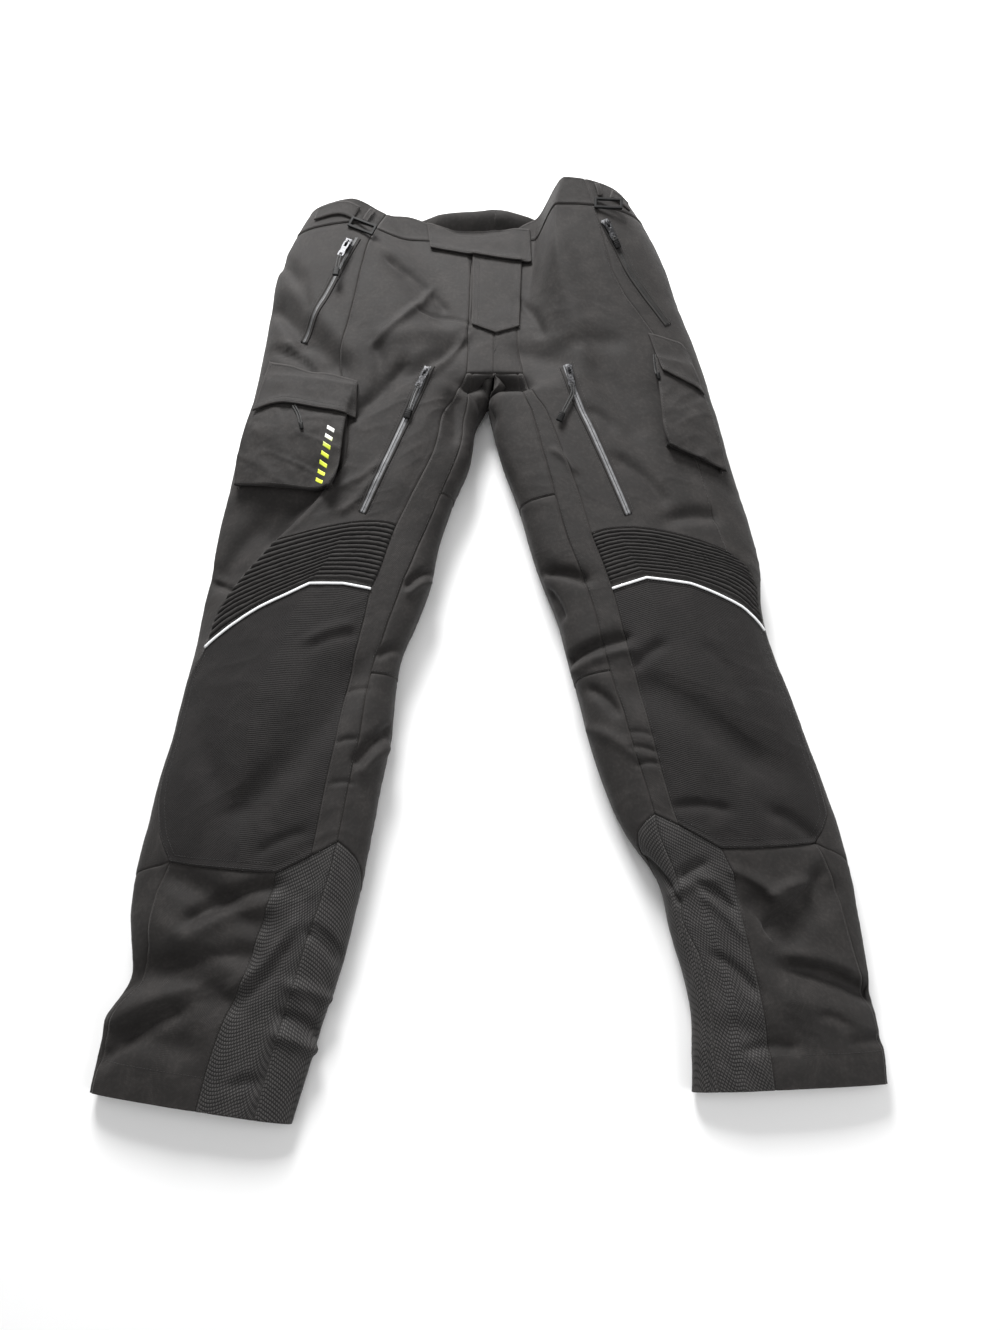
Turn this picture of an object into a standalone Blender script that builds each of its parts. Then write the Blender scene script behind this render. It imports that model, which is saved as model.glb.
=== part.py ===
# Motorcycle touring trousers, laid flat on their back with the front up.
# Work is in millimetres on the plan of the laid garment: +Y towards the waist, +X towards
# the wearer's left leg, +Z up from the surface it lies on. Only make_object turns it to metres.
import math
from collections import namedtuple

import bmesh
import bpy
import numpy as np
from mathutils import Vector
from mathutils.bvhtree import BVHTree

MM = 0.001
CENTRE_X = -10.99      # middle of the laid garment, which becomes the origin
CENTRE_Y = 5.0

# Cloth and its seams
CLOTH = 2.0             # outer textile with its laminate
BAND = 2.6              # folded waistband
SEAM_HALF = 0.15        # half of the gap left at every seam
LIFT = 0.45             # clearance under whatever lies on a panel
CLEAR = 0.40            # least clearance between the corners
SETTLE_SAMPLES = 11
SETTLE_ROUNDS = 3
TURN_UNDER = 0.45       # share of the half turn taken by the rounded edge under a leg
ROUNDNESS = 0.7         # how square a leg's top section is
WELL_UNDER = -0.2       # where the inner leg panel ends on the underside

# Sections from the waist down: the two edges in plan, the height of the edge and of the crown
Row = namedtuple("Row", "name inner_x inner_y outer_x outer_y edge_z crown_z")
ROWS_R = [
    Row("waist top", -6, 540, -240, 530, 20, 60),
    Row("waist seam", -6, 500, -256, 495, 22, 60),
    Row("hip", -6, 440, -274, 440, 26, 62),
    Row("seat", -6, 380, -279, 385, 28, 66),
    Row("fork", -6, 330, -284, 335, 28, 68),
    Row("crotch", -6, 291, -289, 292, 28, 68),
    Row("leg start", -15.4, 262, -293, 262, 28, 68),
    Row("upper thigh", -29, 232, -299, 235, 28, 68),
    Row("thigh", -36, 185, -306, 195, 28, 68),
    Row("lower thigh", -57, 130, -314, 150, 27, 68),
    Row("above ribs", -71, 80, -322, 100, 26, 66),
    Row("ribs", -79, 35, -328, 50, 26, 66),
    Row("piping", -95, -10, -334, 0, 26, 66),
    Row("knee top", -110, -50, -339, -50, 26, 66),
    Row("knee cap", -116, -95, -347, -92, 26, 66),
    Row("knee middle", -119, -140, -355, -140, 26, 64),
    Row("knee low", -128, -190, -366, -190, 25, 60),
    Row("knee end", -136, -240, -375, -238, 24, 56),
    Row("upper calf", -146, -295, -384, -290, 22, 50),
    Row("calf", -155, -340, -385, -335, 20, 46),
    Row("lower calf", -166, -385, -381, -385, 18, 42),
    Row("shin", -180, -430, -399, -425, 16, 38),
    Row("ankle", -193, -475, -410, -465, 14, 34),
    Row("hem", -208, -530, -414, -500, 12, 28),
]
ROWS_L = [
    Row("waist top", -6, 540, 160, 532, 24, 88),
    Row("waist seam", -6, 500, 180, 497, 26, 86),
    Row("hip", -6, 440, 203, 440, 28, 82),
    Row("seat", -6, 380, 218, 385, 28, 76),
    Row("fork", -6, 330, 234, 335, 28, 72),
    Row("crotch", -6, 291, 245, 292, 28, 70),
    Row("leg start", -13.6, 262, 251, 262, 28, 68),
    Row("upper thigh", -9, 232, 258, 235, 28, 68),
    Row("thigh", 3, 185, 265, 195, 28, 68),
    Row("lower thigh", 22, 130, 275, 150, 27, 68),
    Row("above ribs", 35, 80, 287, 100, 26, 68),
    Row("ribs", 49, 37, 295, 55, 26, 66),
    Row("piping", 65, -8, 294, 2, 26, 66),
    Row("knee top", 76, -53, 303, -48, 26, 66),
    Row("knee cap", 87, -97, 317, -92, 26, 66),
    Row("knee middle", 97, -140, 331, -140, 26, 64),
    Row("knee low", 112, -190, 346, -190, 25, 60),
    Row("knee end", 131, -238, 360, -240, 24, 56),
    Row("upper calf", 166, -293, 369, -292, 22, 50),
    Row("calf", 176, -340, 375, -340, 20, 46),
    Row("lower calf", 190, -388, 379, -388, 18, 42),
    Row("shin", 197, -430, 384, -430, 16, 38),
    Row("ankle", 195, -465, 391, -465, 14, 34),
    Row("hem", 194, -500, 392, -492, 12, 28),
]
CROTCH_ROW = 5
LEG_ROW = 6

# Front of the hips: height at the fly, and where the cloth starts to rise and reaches its crown
Rise = namedtuple("Rise", "name fly_z foot_x top_x")
RISES_R = [
    Rise("waist top", 20, -132, -188),
    Rise("waist seam", 22, -110, -186),
    Rise("hip", 32, -70, -160),
    Rise("seat", 42, -55, -140),
    Rise("fork", 50, -45, -120),
    Rise("crotch", 52, -35, -100),
]
RISES_L = [
    Rise("waist top", 20, 44, 78),
    Rise("waist seam", 22, 42, 68),
    Rise("hip", 32, 38, 68),
    Rise("seat", 42, 26, 80),
    Rise("fork", 50, 25, 100),
    Rise("crotch", 52, 25, 100),
]

# Lengthwise seams: row number, and how far across the leg (0 inner edge, 1 outer edge)
Seam = namedtuple("Seam", "row across")
INNER_SEAM_R = [
    Seam(0, 0.190), Seam(5, 0.200), Seam(6.2, 0.174), Seam(7.1, 0.128), Seam(8, 0.146), Seam(8.8, 0.142),
    Seam(9.5, 0.150), Seam(10.3, 0.184), Seam(11, 0.212), Seam(12, 0.212), Seam(12.8, 0.200),
    Seam(13.5, 0.214), Seam(14.5, 0.230), Seam(17.2, 0.234), Seam(18.1, 0.242), Seam(19.1, 0.272),
    Seam(20.1, 0.290), Seam(21.2, 0.276), Seam(23, 0.276),
]
FRONT_SEAM_R = [
    Seam(0, 0.215), Seam(5, 0.224), Seam(6.6, 0.240), Seam(7.5, 0.246), Seam(9, 0.264), Seam(9.8, 0.288),
    Seam(11.4, 0.320), Seam(12.6, 0.296), Seam(13.4, 0.294), Seam(14.5, 0.316), Seam(17.5, 0.316),
]
STRIP_SEAM_R = [
    Seam(17.8, 0.400), Seam(18.9, 0.426), Seam(20, 0.456), Seam(21, 0.464), Seam(23, 0.472),
]
SIDE_SEAM_R = [
    Seam(0, 0.556), Seam(1.9, 0.558), Seam(3.4, 0.578), Seam(4.7, 0.596), Seam(5.1, 0.588), Seam(7, 0.525),
    Seam(8.6, 0.492), Seam(9.2, 0.528), Seam(10.1, 0.608), Seam(10.8, 0.670), Seam(12, 0.796),
    Seam(12.9, 0.824), Seam(13.6, 0.890), Seam(14.4, 0.912), Seam(16, 0.898), Seam(16.85, 0.856),
    Seam(17.66, 0.735), Seam(18.2, 0.764), Seam(19.5, 0.800), Seam(20.2, 0.860), Seam(21.6, 0.905), Seam(23, 0.920),
]
INNER_SEAM_L = [
    Seam(0, 0.200), Seam(5, 0.212), Seam(6, 0.258), Seam(7, 0.278), Seam(8, 0.278), Seam(9, 0.260),
    Seam(9.8, 0.256), Seam(11.1, 0.270), Seam(12.6, 0.270), Seam(13.8, 0.265), Seam(14.6, 0.274),
    Seam(16, 0.272), Seam(16.8, 0.262), Seam(18, 0.190), Seam(18.7, 0.158), Seam(19.4, 0.206),
    Seam(20.3, 0.204), Seam(21.6, 0.196), Seam(23, 0.230),
]
FRONT_SEAM_L = [
    Seam(0, 0.218), Seam(4, 0.220), Seam(5, 0.236), Seam(6, 0.292), Seam(6.9, 0.326), Seam(8.1, 0.340),
    Seam(10, 0.342), Seam(11.5, 0.354), Seam(13.2, 0.352), Seam(15, 0.348), Seam(17, 0.328),
]
STRIP_SEAM_L = [
    Seam(17.4, 0.420), Seam(18.6, 0.416), Seam(20.5, 0.414), Seam(21.5, 0.420), Seam(23, 0.440),
]
SIDE_SEAM_L = [
    Seam(0, 0.600), Seam(1.7, 0.586), Seam(2.3, 0.584), Seam(2.8, 0.604), Seam(3.6, 0.664), Seam(4, 0.690),
    Seam(5, 0.712), Seam(7, 0.722), Seam(9, 0.726), Seam(10.2, 0.724), Seam(10.75, 0.732),
    Seam(11.4, 0.880), Seam(12.5, 0.894), Seam(14, 0.905), Seam(16.3, 0.882), Seam(16.8, 0.850),
    Seam(17.28, 0.746), Seam(17.9, 0.776), Seam(19.4, 0.816), Seam(19.9, 0.842), Seam(20.3, 0.910),
    Seam(21.6, 0.925), Seam(23, 0.925),
]

# Cross lines of the grid: the row number each crosses at eight places from the fly or inner
# edge round the outer edge to the back, and the steps from it down to the next line
Line = namedtuple("Line", "name steps centre inner front strip mid outer side back")
LINES_R = [
    Line("waist top", 2, 0.50, 0.50, 0.50, 0.42, 0.10, 0, 0, 0),
    Line("waist seam", 8, 1, 1, 1, 1, 1, 1, 1, 1),
    Line("crotch", 1, 5, 5, 5, 5, 5, 5, 5, 5),
    Line("leg start", 4, 6, 6, 6, 6, 6, 6, 6, 6),
    Line("gusset", 2, 8.84, 8.84, 8.84, 8.84, 8.85, 9.1, 9.4, 8.84),
    Line("rib top", 4, 9.80, 9.76, 9.76, 9.74, 9.82, 10.12, 10.38, 9.80),
    Line("piping", 3, 11.40, 11.40, 11.40, 11.33, 11.38, 12.30, 12.88, 11.40),
    Line("knee level", 6, 13.56, 13.52, 13.50, 13.50, 13.60, 13.90, 14.10, 13.56),
    Line("knee end", 9, 18.40, 17.24, 17.50, 17.84, 17.82, 17.74, 17.66, 18.40),
    Line("hem", 0, 23, 23, 23, 23, 23, 23, 23, 23),
]
LINES_L = [
    Line("waist top", 2, 0.50, 0.40, 0.35, 0.10, 0, 0, 0, 0),
    Line("waist seam", 8, 1, 1, 1, 1, 1, 1, 1, 1),
    Line("crotch", 1, 5, 5, 5, 5, 5, 5, 5, 5),
    Line("leg start", 4, 6, 6, 6, 6, 6, 6, 6, 6),
    Line("gusset", 2, 9.10, 9.00, 8.98, 8.95, 8.95, 9.0, 9.1, 9.10),
    Line("rib top", 4, 10.10, 10.04, 10.04, 10.00, 10.04, 10.45, 10.75, 10.10),
    Line("piping", 3, 11.50, 11.50, 11.48, 11.29, 11.48, 12.00, 12.48, 11.50),
    Line("knee level", 6, 13.70, 13.44, 13.44, 13.44, 13.50, 13.60, 13.70, 13.70),
    Line("knee end", 9, 18.30, 16.72, 16.95, 17.40, 17.40, 17.34, 17.28, 18.30),
    Line("hem", 0, 23, 23, 23, 23, 23, 23, 23, 23),
]

# Grid columns, counted from the fly or inner edge, over the outer edge and under to the back
INNER, FRONT, STRIP, MID, OUTER, SIDE, LAST = 4, 5, 7, 9, 12, 14, 24
INNER_SHARES = (0, 0.42, 0.55, 0.75, 1)             # inner leg panel, from below to its front seam
SIDE_SHARES = (0, 0.12, 0.40, 0.70, 0.92, 1)        # side seam to the outer edge
UNDER_ACROSS = (1.06, 1.15, 1.50)                   # round the outer edge and along the underside
UNDER_LAST_SHARE = 0.6                              # last column before the seam under the leg

# Large folds: a ridge or a trough from one point to another, in plan
Fold = namedtuple("Fold", "name x0 y0 x1 y1 width height")
FOLDS = [
    Fold("hip pull right", -262, 382, -192, 296, 13, -8),
    Fold("hip ridge right", -240, 396, -180, 318, 14, 4),
    Fold("pocket bag right", -118, 420, -74, 370, 12, -6),
    Fold("fork pull right", -46, 330, -100, 282, 11, -6),
    Fold("seat ridge right", -60, 352, -130, 330, 14, 4),
    Fold("inner thigh right", -53, 250, -54, 212, 9, -7),
    Fold("thigh ridge right", -70, 262, -112, 150, 16, 3),
    Fold("knee pull right", -186, -88, -270, -226, 20, -6),
    Fold("knee side right", -332, -110, -300, -190, 16, -4),
    Fold("calf pull right", -330, -292, -256, -330, 15, -7),
    Fold("shin pull right", -352, -378, -286, -408, 16, -7),
    Fold("hem pull right", -392, -440, -322, -456, 14, -5),
    Fold("calf ridge right", -344, -340, -290, -366, 15, 5),
    Fold("fork pull left", 30, 318, 66, 302, 14, -6),
    Fold("hip ridge left", 70, 440, 96, 330, 18, 4),
    Fold("thigh pull left", 116, 290, 150, 215, 16, -5),
    Fold("knee pull left", 152, -96, 288, -176, 17, -6),
    Fold("inner thigh left", 46, 52, 90, 38, 9, -4),
    Fold("inner knee left", 78, -56, 124, -34, 9, -4),
    Fold("calf pull left", 258, -298, 296, -342, 14, -7),
    Fold("calf pull back left", 300, -342, 340, -306, 13, -6),
    Fold("shin pull left", 292, -376, 362, -398, 14, -6),
    Fold("hem pull left", 238, -440, 300, -452, 14, -4),
    Fold("shin ridge left", 300, -412, 350, -428, 14, 4),
]

# The right thigh's side panel lies low beside the front panel: row number and depth
Drop = namedtuple("Drop", "row depth")
SIDE_DROPS_R = [Drop(7.6, 0), Drop(8.8, 10), Drop(9.6, 20), Drop(11, 21), Drop(12.2, 12), Drop(13.2, 0)]
SIDE_DROPS_L = [Drop(0, 0), Drop(23, 0)]

# Pieces that lie on the panels, as edges in plan
Zip = namedtuple("Zip", "name tape width_top width_low pull")
ZIPS_R = [
    Zip("vent", [(-82, 294), (-99, 248), (-127, 176), (-154, 108)], 12, 7,
        [(-86, 283), (-98, 255), (-107, 223)]),
    Zip("hip", [(-174, 472), (-188, 440), (-207, 392), (-233, 331)], 9, 8,
        [(-184, 459), (-192, 436), (-195, 407)]),
]
ZIPS_L = [
    Zip("vent", [(76, 296), (87, 255), (106, 205), (125, 155), (143, 105)], 12, 7,
        [(80, 285), (84, 254), (67, 219)]),
    Zip("hip", [(124, 478), (143, 437), (159, 405), (199, 350)], 9, 8,
        [(127, 470), (141, 440)]),
]
Pocket = namedtuple("Pocket", "inner_edge outer_edge mouth_height height flap_top flap_low puller")
POCKET_R = Pocket(
    inner_edge=[(-166, 264), (-174, 230), (-180, 158), (-189, 133)],
    outer_edge=[(-278, 288), (-290, 236), (-301, 180), (-303, 148)],
    mouth_height=3, height=13,
    flap_top=[(-272, 306), (-246, 296), (-222, 287), (-193, 281), (-164, 270)],
    flap_low=[(-285, 236), (-262, 242), (-238, 240), (-214, 234), (-190, 228), (-165, 224)],
    puller=[(-236, 236), (-229, 224), (-224, 206)],
)
POCKET_L = Pocket(
    inner_edge=[(181, 302), (183, 250), (185, 207), (191, 187)],
    outer_edge=[(226, 296), (240, 252), (252, 200), (257, 160)],
    mouth_height=3, height=12,
    flap_top=[(174, 334), (196, 330), (214, 327), (224, 312)],
    flap_low=[(188, 283), (206, 275), (228, 266), (237, 257)],
    puller=[(180, 306), (183, 272)],
)
Adjuster = namedtuple("Adjuster", "strap_top strap_low buckle angle loop")
ADJUSTER_R = Adjuster([(-226, 525), (-196, 528), (-172, 520)], [(-230, 507), (-200, 509), (-180, 500)],
                      (-168, 489), -24, [(-158, 527), (-166, 501)])
ADJUSTER_L = Adjuster([(136, 526), (148, 523), (157, 517)], [(132, 512), (146, 509), (158, 503)],
                      (130, 499), -3, [(117, 530), (121, 512)])
FLY_TOP = [(-34, 474), (-3, 466), (27, 461)]
FLY_LOW = [(-34, 360), (-5, 347), (23, 357)]
TAB_TOP = [(-93, 524), (-50, 520), (0, 519), (38, 514)]
TAB_LOW = [(-87, 483), (-33, 470), (28, 458), (39, 459)]
REACH = 1.5             # how far round a point a laid piece looks for what it must clear
LOOK_ROUND = 8
FLAP = 2.6
TAPE_HEIGHT = 1.2
SLIDER_LENGTH = 11
SLIDER_WIDTH = 9.6
SLIDER_HEIGHT = 2.4
SLIDER_REACH = 2
TAB_WIDTH = 8.6
PULLER_WIDTH = 7.4
PULL_HEIGHT = 2.2
PULL_STEPS = 9
PULL_NEAR = 6           # the pull clears the cloth from here outwards
HINGE_CLEAR = 0.35
CORD = 3.0
BELLOWS_SLOPE = 2.0
BAG_LINES = 6
BAG_LEAN = 0.25         # share of its height that the pocket loses towards the side
BAG_FULL = 0.6          # how far down the pocket reaches its full height
BAG_COLUMNS = 7
BAG_STEPS = 60          # fine lines down the pocket that its own lines are picked from
BUCKLE_LENGTH = 34
BUCKLE_WIDTH = 15
BUCKLE_BAR = 3.5
BUCKLE_HEIGHT = 3.0
BUCKLE_REACH = 2
BUCKLE_LOOKS = 9
LOOP_WIDTH = 6

RIB_ROWS_PER_STEP = 7       # fine rows in each of the four steps: 28 rows, 14 ribs
RIB_HEIGHT = 2.6
RIB_FADE = 4.0              # the lowest ribs sink towards the piping
PIPING_WIDTH = 4.0
PIPING_HEIGHT = 1.9
PIPING_LIFT = 0.8

Finish = namedtuple("Finish", "colour roughness metallic")
SHELL = Finish((0.045, 0.041, 0.038), 0.80, 0.0)
DENSE = Finish((0.036, 0.033, 0.031), 0.85, 0.0)
TEXTURED = Finish((0.026, 0.025, 0.024), 0.78, 0.0)
REFLECTIVE = Finish((0.85, 0.85, 0.84), 0.35, 0.0)
TAPE = Finish((0.42, 0.43, 0.44), 0.40, 0.2)
GUNMETAL = Finish((0.16, 0.16, 0.17), 0.35, 0.9)
BLACK_PLASTIC = Finish((0.02, 0.02, 0.02), 0.45, 0.0)


def smooth(x):
    x = np.clip(x, 0, 1)
    return x * x * (3 - 2 * x)


def through(values, at):
    # Smooth curve through one value a row
    p = np.asarray(values, float)
    last = len(p) - 1
    at = np.clip(at, 0, last)
    i = np.clip(np.floor(at).astype(int), 0, last - 1)
    f = at - i
    p0 = p[np.clip(i - 1, 0, last)]
    p1 = p[i]
    p2 = p[i + 1]
    p3 = p[np.clip(i + 2, 0, last)]
    return 0.5 * (2 * p1 + (p2 - p0) * f + (2 * p0 - 5 * p1 + 4 * p2 - p3) * f ** 2
                  + (3 * p1 - p0 - 3 * p2 + p3) * f ** 3)


def unit(vectors):
    length = np.linalg.norm(vectors, axis=-1, keepdims=True)
    return vectors / np.maximum(length, 1e-9)


def fold_height(x, y):
    # Sum of the ridges and troughs, each fading out past its ends
    total = np.zeros_like(x)
    for fold in FOLDS:
        dx = fold.x1 - fold.x0
        dy = fold.y1 - fold.y0
        length = math.hypot(dx, dy)
        along = ((x - fold.x0) * dx + (y - fold.y0) * dy) / length
        aside = ((x - fold.x0) * dy - (y - fold.y0) * dx) / length
        past = np.maximum(0, np.maximum(-along, along - length))
        total += fold.height * np.exp(-(aside / fold.width) ** 2 - (past / (1.6 * fold.width)) ** 2)
    return total


class Leg:
    # One half of the garment: a grid of points and outward directions that all its panels share
    def __init__(self, side, rows, rises, seams, lines, drops):
        self.side = side
        self.rows = rows
        self.rises = rises
        self.inner_seam, self.front_seam, self.strip_seam, self.side_seam = seams
        self.drops = drops
        self.turn = 1 if side == "r" else -1
        self.start = {}
        self.set_lines(lines)
        self.set_grid()

    def at_seam(self, seam, row):
        return np.interp(row, [s.row for s in seam], [s.across for s in seam])

    def set_lines(self, lines):
        # Row number at every line and column
        anchors = (0, INNER, FRONT, STRIP, MID, OUTER, SIDE, LAST)
        table = []
        for line, following in zip(lines, lines[1:] + lines[-1:]):
            self.start[line.name] = len(table)
            here = np.interp(range(LAST + 1), anchors, line[2:])
            there = np.interp(range(LAST + 1), anchors, following[2:])
            for step in range(max(line.steps, 1)):
                table.append(here + (there - here) * step / max(line.steps, 1))
        self.row = np.array(table)

    def across(self, line, column):
        row = self.row[line, column]
        below_knee = line > self.start["knee end"]
        inner = self.at_seam(self.inner_seam, row)
        front = self.at_seam(self.front_seam, row)
        side = self.at_seam(self.side_seam, row)
        under = WELL_UNDER * smooth((row - LEG_ROW) / 1.5)
        if column <= INNER:
            return under + (inner - under) * INNER_SHARES[column]
        if column <= SIDE and not below_knee:
            return front + (side - front) * (column - FRONT) / (SIDE - FRONT)
        strip = self.at_seam(self.strip_seam, row)
        if column <= STRIP:
            return inner + (strip - inner) * (column - INNER) / (STRIP - INNER)
        if column <= SIDE:
            return strip + (side - strip) * (column - STRIP) / (SIDE - STRIP)
        if column < SIDE + len(SIDE_SHARES):
            return side + (1 - side) * SIDE_SHARES[column - SIDE]
        if column < LAST - 1:
            return UNDER_ACROSS[column - SIDE - len(SIDE_SHARES)]
        share = UNDER_LAST_SHARE if column < LAST else 1
        return UNDER_ACROSS[-1] + (2 + under - UNDER_ACROSS[-1]) * share

    def point(self, row, across):
        keys = ("inner_x", "inner_y", "outer_x", "outer_y", "edge_z", "crown_z")
        columns = [through([getattr(r, key) for r in self.rows], row) for key in keys]
        inner_x, inner_y, outer_x, outer_y, edge_z, crown_z = columns
        up = np.sin(np.pi * across)                 # above 0 on the front, below 0 on the back
        share = (1 - np.cos(np.pi * across)) / 2    # 0 at the inner edge, 1 at the outer edge
        x = inner_x + (outer_x - inner_x) * share
        y = inner_y + (outer_y - inner_y) * share
        # A leg is a flattened tube; the hips rise from a low fly to their own crown
        leg_z = edge_z + (crown_z - edge_z) * np.clip(up, 0, 1) ** ROUNDNESS
        body_row = np.clip(row, 0, CROTCH_ROW)
        fly_z = through([r.fly_z for r in self.rises], body_row)
        foot_x = through([r.foot_x for r in self.rises], body_row)
        top_x = through([r.top_x for r in self.rises], body_row)
        front_z = fly_z + (crown_z - fly_z) * smooth((x - foot_x) / (top_x - foot_x))
        fall = np.clip(1 - np.clip(2 * share - 1, 0, 1) ** 2, 0, 1) ** 0.4
        hip_z = np.where(share < 0.5, front_z, edge_z + (front_z - edge_z) * fall)
        body = 1 - smooth((row - CROTCH_ROW) / (LEG_ROW - CROTCH_ROW))
        top_z = leg_z + (hip_z - leg_z) * body
        under = -up + (np.sqrt(np.clip(1 - share ** 2, 0, 1)) + up) * body
        under_z = edge_z * (1 - np.clip(under / TURN_UNDER, 0, 1)) ** 2
        top_z = top_z + fold_height(x, y) * smooth(up / 0.3) - self.side_drop(row, across)
        return np.stack([x, y, np.where(up >= 0, top_z, under_z)], axis=-1)

    def side_drop(self, row, across):
        seam = self.at_seam(self.side_seam, row)
        depth = np.interp(row, [d.row for d in self.drops], [d.depth for d in self.drops])
        out = np.clip((across - seam) / (1 - seam), 0, 1)
        return depth * smooth(out / SIDE_SHARES[1]) * (1 - out ** 2)

    def set_grid(self):
        count = len(self.row)
        across = [[self.across(j, i) for i in range(LAST + 1)] for j in range(count)]
        self.points = self.point(self.row, np.array(across))
        p = self.points
        down = np.gradient(p, axis=0)
        out = np.gradient(p, axis=1)
        crotch = self.start["leg start"]
        wrap = p[crotch:, 1] - p[crotch:, LAST - 1]
        out[crotch:, 0] = wrap
        out[crotch:, LAST] = wrap
        self.normals = unit(np.cross(out, down) * self.turn)
        # On the centre line both halves share one direction
        self.normals[:crotch, 0, 0] = 0
        self.normals[:crotch, LAST] = (0, 0, -1)
        self.normals = unit(self.normals)

    def block(self, top, bottom, first, last):
        lines = slice(self.start[top], self.start[bottom] + 1)
        return self.points[lines, first:last + 1].copy(), self.normals[lines, first:last + 1].copy()


def inset_edges(points, normals):
    # Draw all four edges back along the cloth, so that neighbours stand a seam's gap apart
    inset = points.copy()
    for axis in (0, 1):
        ways = np.gradient(points, axis=1 - axis)
        for edge, neighbour in ((0, 1), (-1, -2)):
            here = np.take(points, edge, axis=axis)
            inward = np.take(points, neighbour, axis=axis) - here
            aside = unit(np.cross(np.take(normals, edge, axis=axis), np.take(ways, edge, axis=axis)))
            sign = np.sign(np.sum(aside * inward, axis=-1, keepdims=True))
            index = [slice(None)] * 3
            index[axis] = edge
            inset[tuple(index)] += aside * sign * SEAM_HALF
    inset[..., 2] = np.maximum(inset[..., 2], 0)
    return inset


class Cover:
    # Everything built so far, to lay the next piece on
    def __init__(self):
        self.points = []
        self.faces = []
        self.tree = None

    def add(self, points, faces):
        base = len(self.points)
        self.points.extend(Vector(p) for p in points)
        self.faces.extend([base + i for i in face] for face in faces)
        self.tree = None

    def height(self, x, y):
        if self.tree is None:
            self.tree = BVHTree.FromPolygons(self.points, self.faces)
        hit = self.tree.ray_cast(Vector((x, y, 300.0)), Vector((0, 0, -1)))[0]
        return hit.z if hit else 0.0

    def clear_height(self, x, y, reach):
        # Highest point within reach, so that a piece clears the edges beside it too
        best = self.height(x, y)
        for turn in range(LOOK_ROUND):
            angle = math.tau * turn / LOOK_ROUND
            best = max(best, self.height(x + reach * math.cos(angle), y + reach * math.sin(angle)))
        return best


cover = Cover()


def material_for(name, finish):
    material = bpy.data.materials.new(name)
    material.use_nodes = True
    shader = material.node_tree.nodes["Principled BSDF"]
    shader.inputs["Base Color"].default_value = (*finish.colour, 1)
    shader.inputs["Roughness"].default_value = finish.roughness
    shader.inputs["Metallic"].default_value = finish.metallic
    return material


def make_object(name, points, faces, finish, origin=None):
    # Points in millimetres on the plan become an object in metres about its own origin
    place = Vector(origin or (CENTRE_X, CENTRE_Y, 0))
    mesh = bpy.data.meshes.new(name)
    mesh.from_pydata([(Vector(p) - place) * MM for p in points], [], faces)
    shape = bmesh.new()
    shape.from_mesh(mesh)
    bmesh.ops.recalc_face_normals(shape, faces=shape.faces[:])
    if shape.calc_volume(signed=True) < 0:
        bmesh.ops.reverse_faces(shape, faces=shape.faces[:])
    bmesh.ops.triangulate(shape, faces=shape.faces[:])
    cover.add(points, [[corner.index for corner in face.verts] for face in shape.faces])
    shape.to_mesh(mesh)
    shape.free()
    mesh.materials.append(material_for(name, finish))
    mesh.shade_smooth()
    mesh.set_sharp_from_angle(angle=math.radians(40))
    item = bpy.data.objects.new(name, mesh)
    item.location = (place - Vector((CENTRE_X, CENTRE_Y, 0))) * MM
    bpy.context.collection.objects.link(item)
    return item


def wall_faces(lines, columns):
    # Faces of a closed wall whose outer grid comes first and inner grid second
    half = lines * columns

    def at(line, column):
        return line * columns + column

    faces = []
    for j in range(lines - 1):
        for i in range(columns - 1):
            quad = [at(j, i), at(j, i + 1), at(j + 1, i + 1), at(j + 1, i)]
            faces.append(quad)
            faces.append([half + k for k in reversed(quad)])
    rim = [at(0, i) for i in range(columns - 1)] + [at(j, columns - 1) for j in range(lines - 1)]
    rim += [at(lines - 1, i) for i in range(columns - 1, 0, -1)]
    rim += [at(j, 0) for j in range(lines - 1, 0, -1)]
    for a, b in zip(rim, rim[1:] + rim[:1]):
        faces.append([b, a, half + a, half + b])
    return faces


def wall(name, outer, inner, finish):
    # Closed wall between two grids of the same size
    points = np.concatenate([outer.reshape(-1, 3), inner.reshape(-1, 3)])
    return make_object(name, points, wall_faces(*outer.shape[:2]), finish)


def panel(name, points, normals, finish, thickness=CLOTH):
    outer = inset_edges(points, normals)
    return wall(name, outer, outer - normals * thickness, finish)


def leg_panel(leg, name, top, bottom, first, last, finish, thickness=CLOTH):
    points, normals = leg.block(top, bottom, first, last)
    return panel(f"{name}_{leg.side}", points, normals, finish, thickness)


def across_both(right, left, top, bottom, first, last):
    # Both halves of a piece that crosses the centre line, joined there into one grid
    points_r, normals_r = right.block(top, bottom, first, last)
    points_l, normals_l = left.block(top, bottom, first, last)
    if first == 0:
        points = np.concatenate([points_r[:, ::-1], points_l[:, 1:]], axis=1)
        normals = np.concatenate([normals_r[:, ::-1], normals_l[:, 1:]], axis=1)
    else:
        points = np.concatenate([points_r, points_l[:, -2::-1]], axis=1)
        normals = np.concatenate([normals_r, normals_l[:, -2::-1]], axis=1)
    return points, normals


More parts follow.
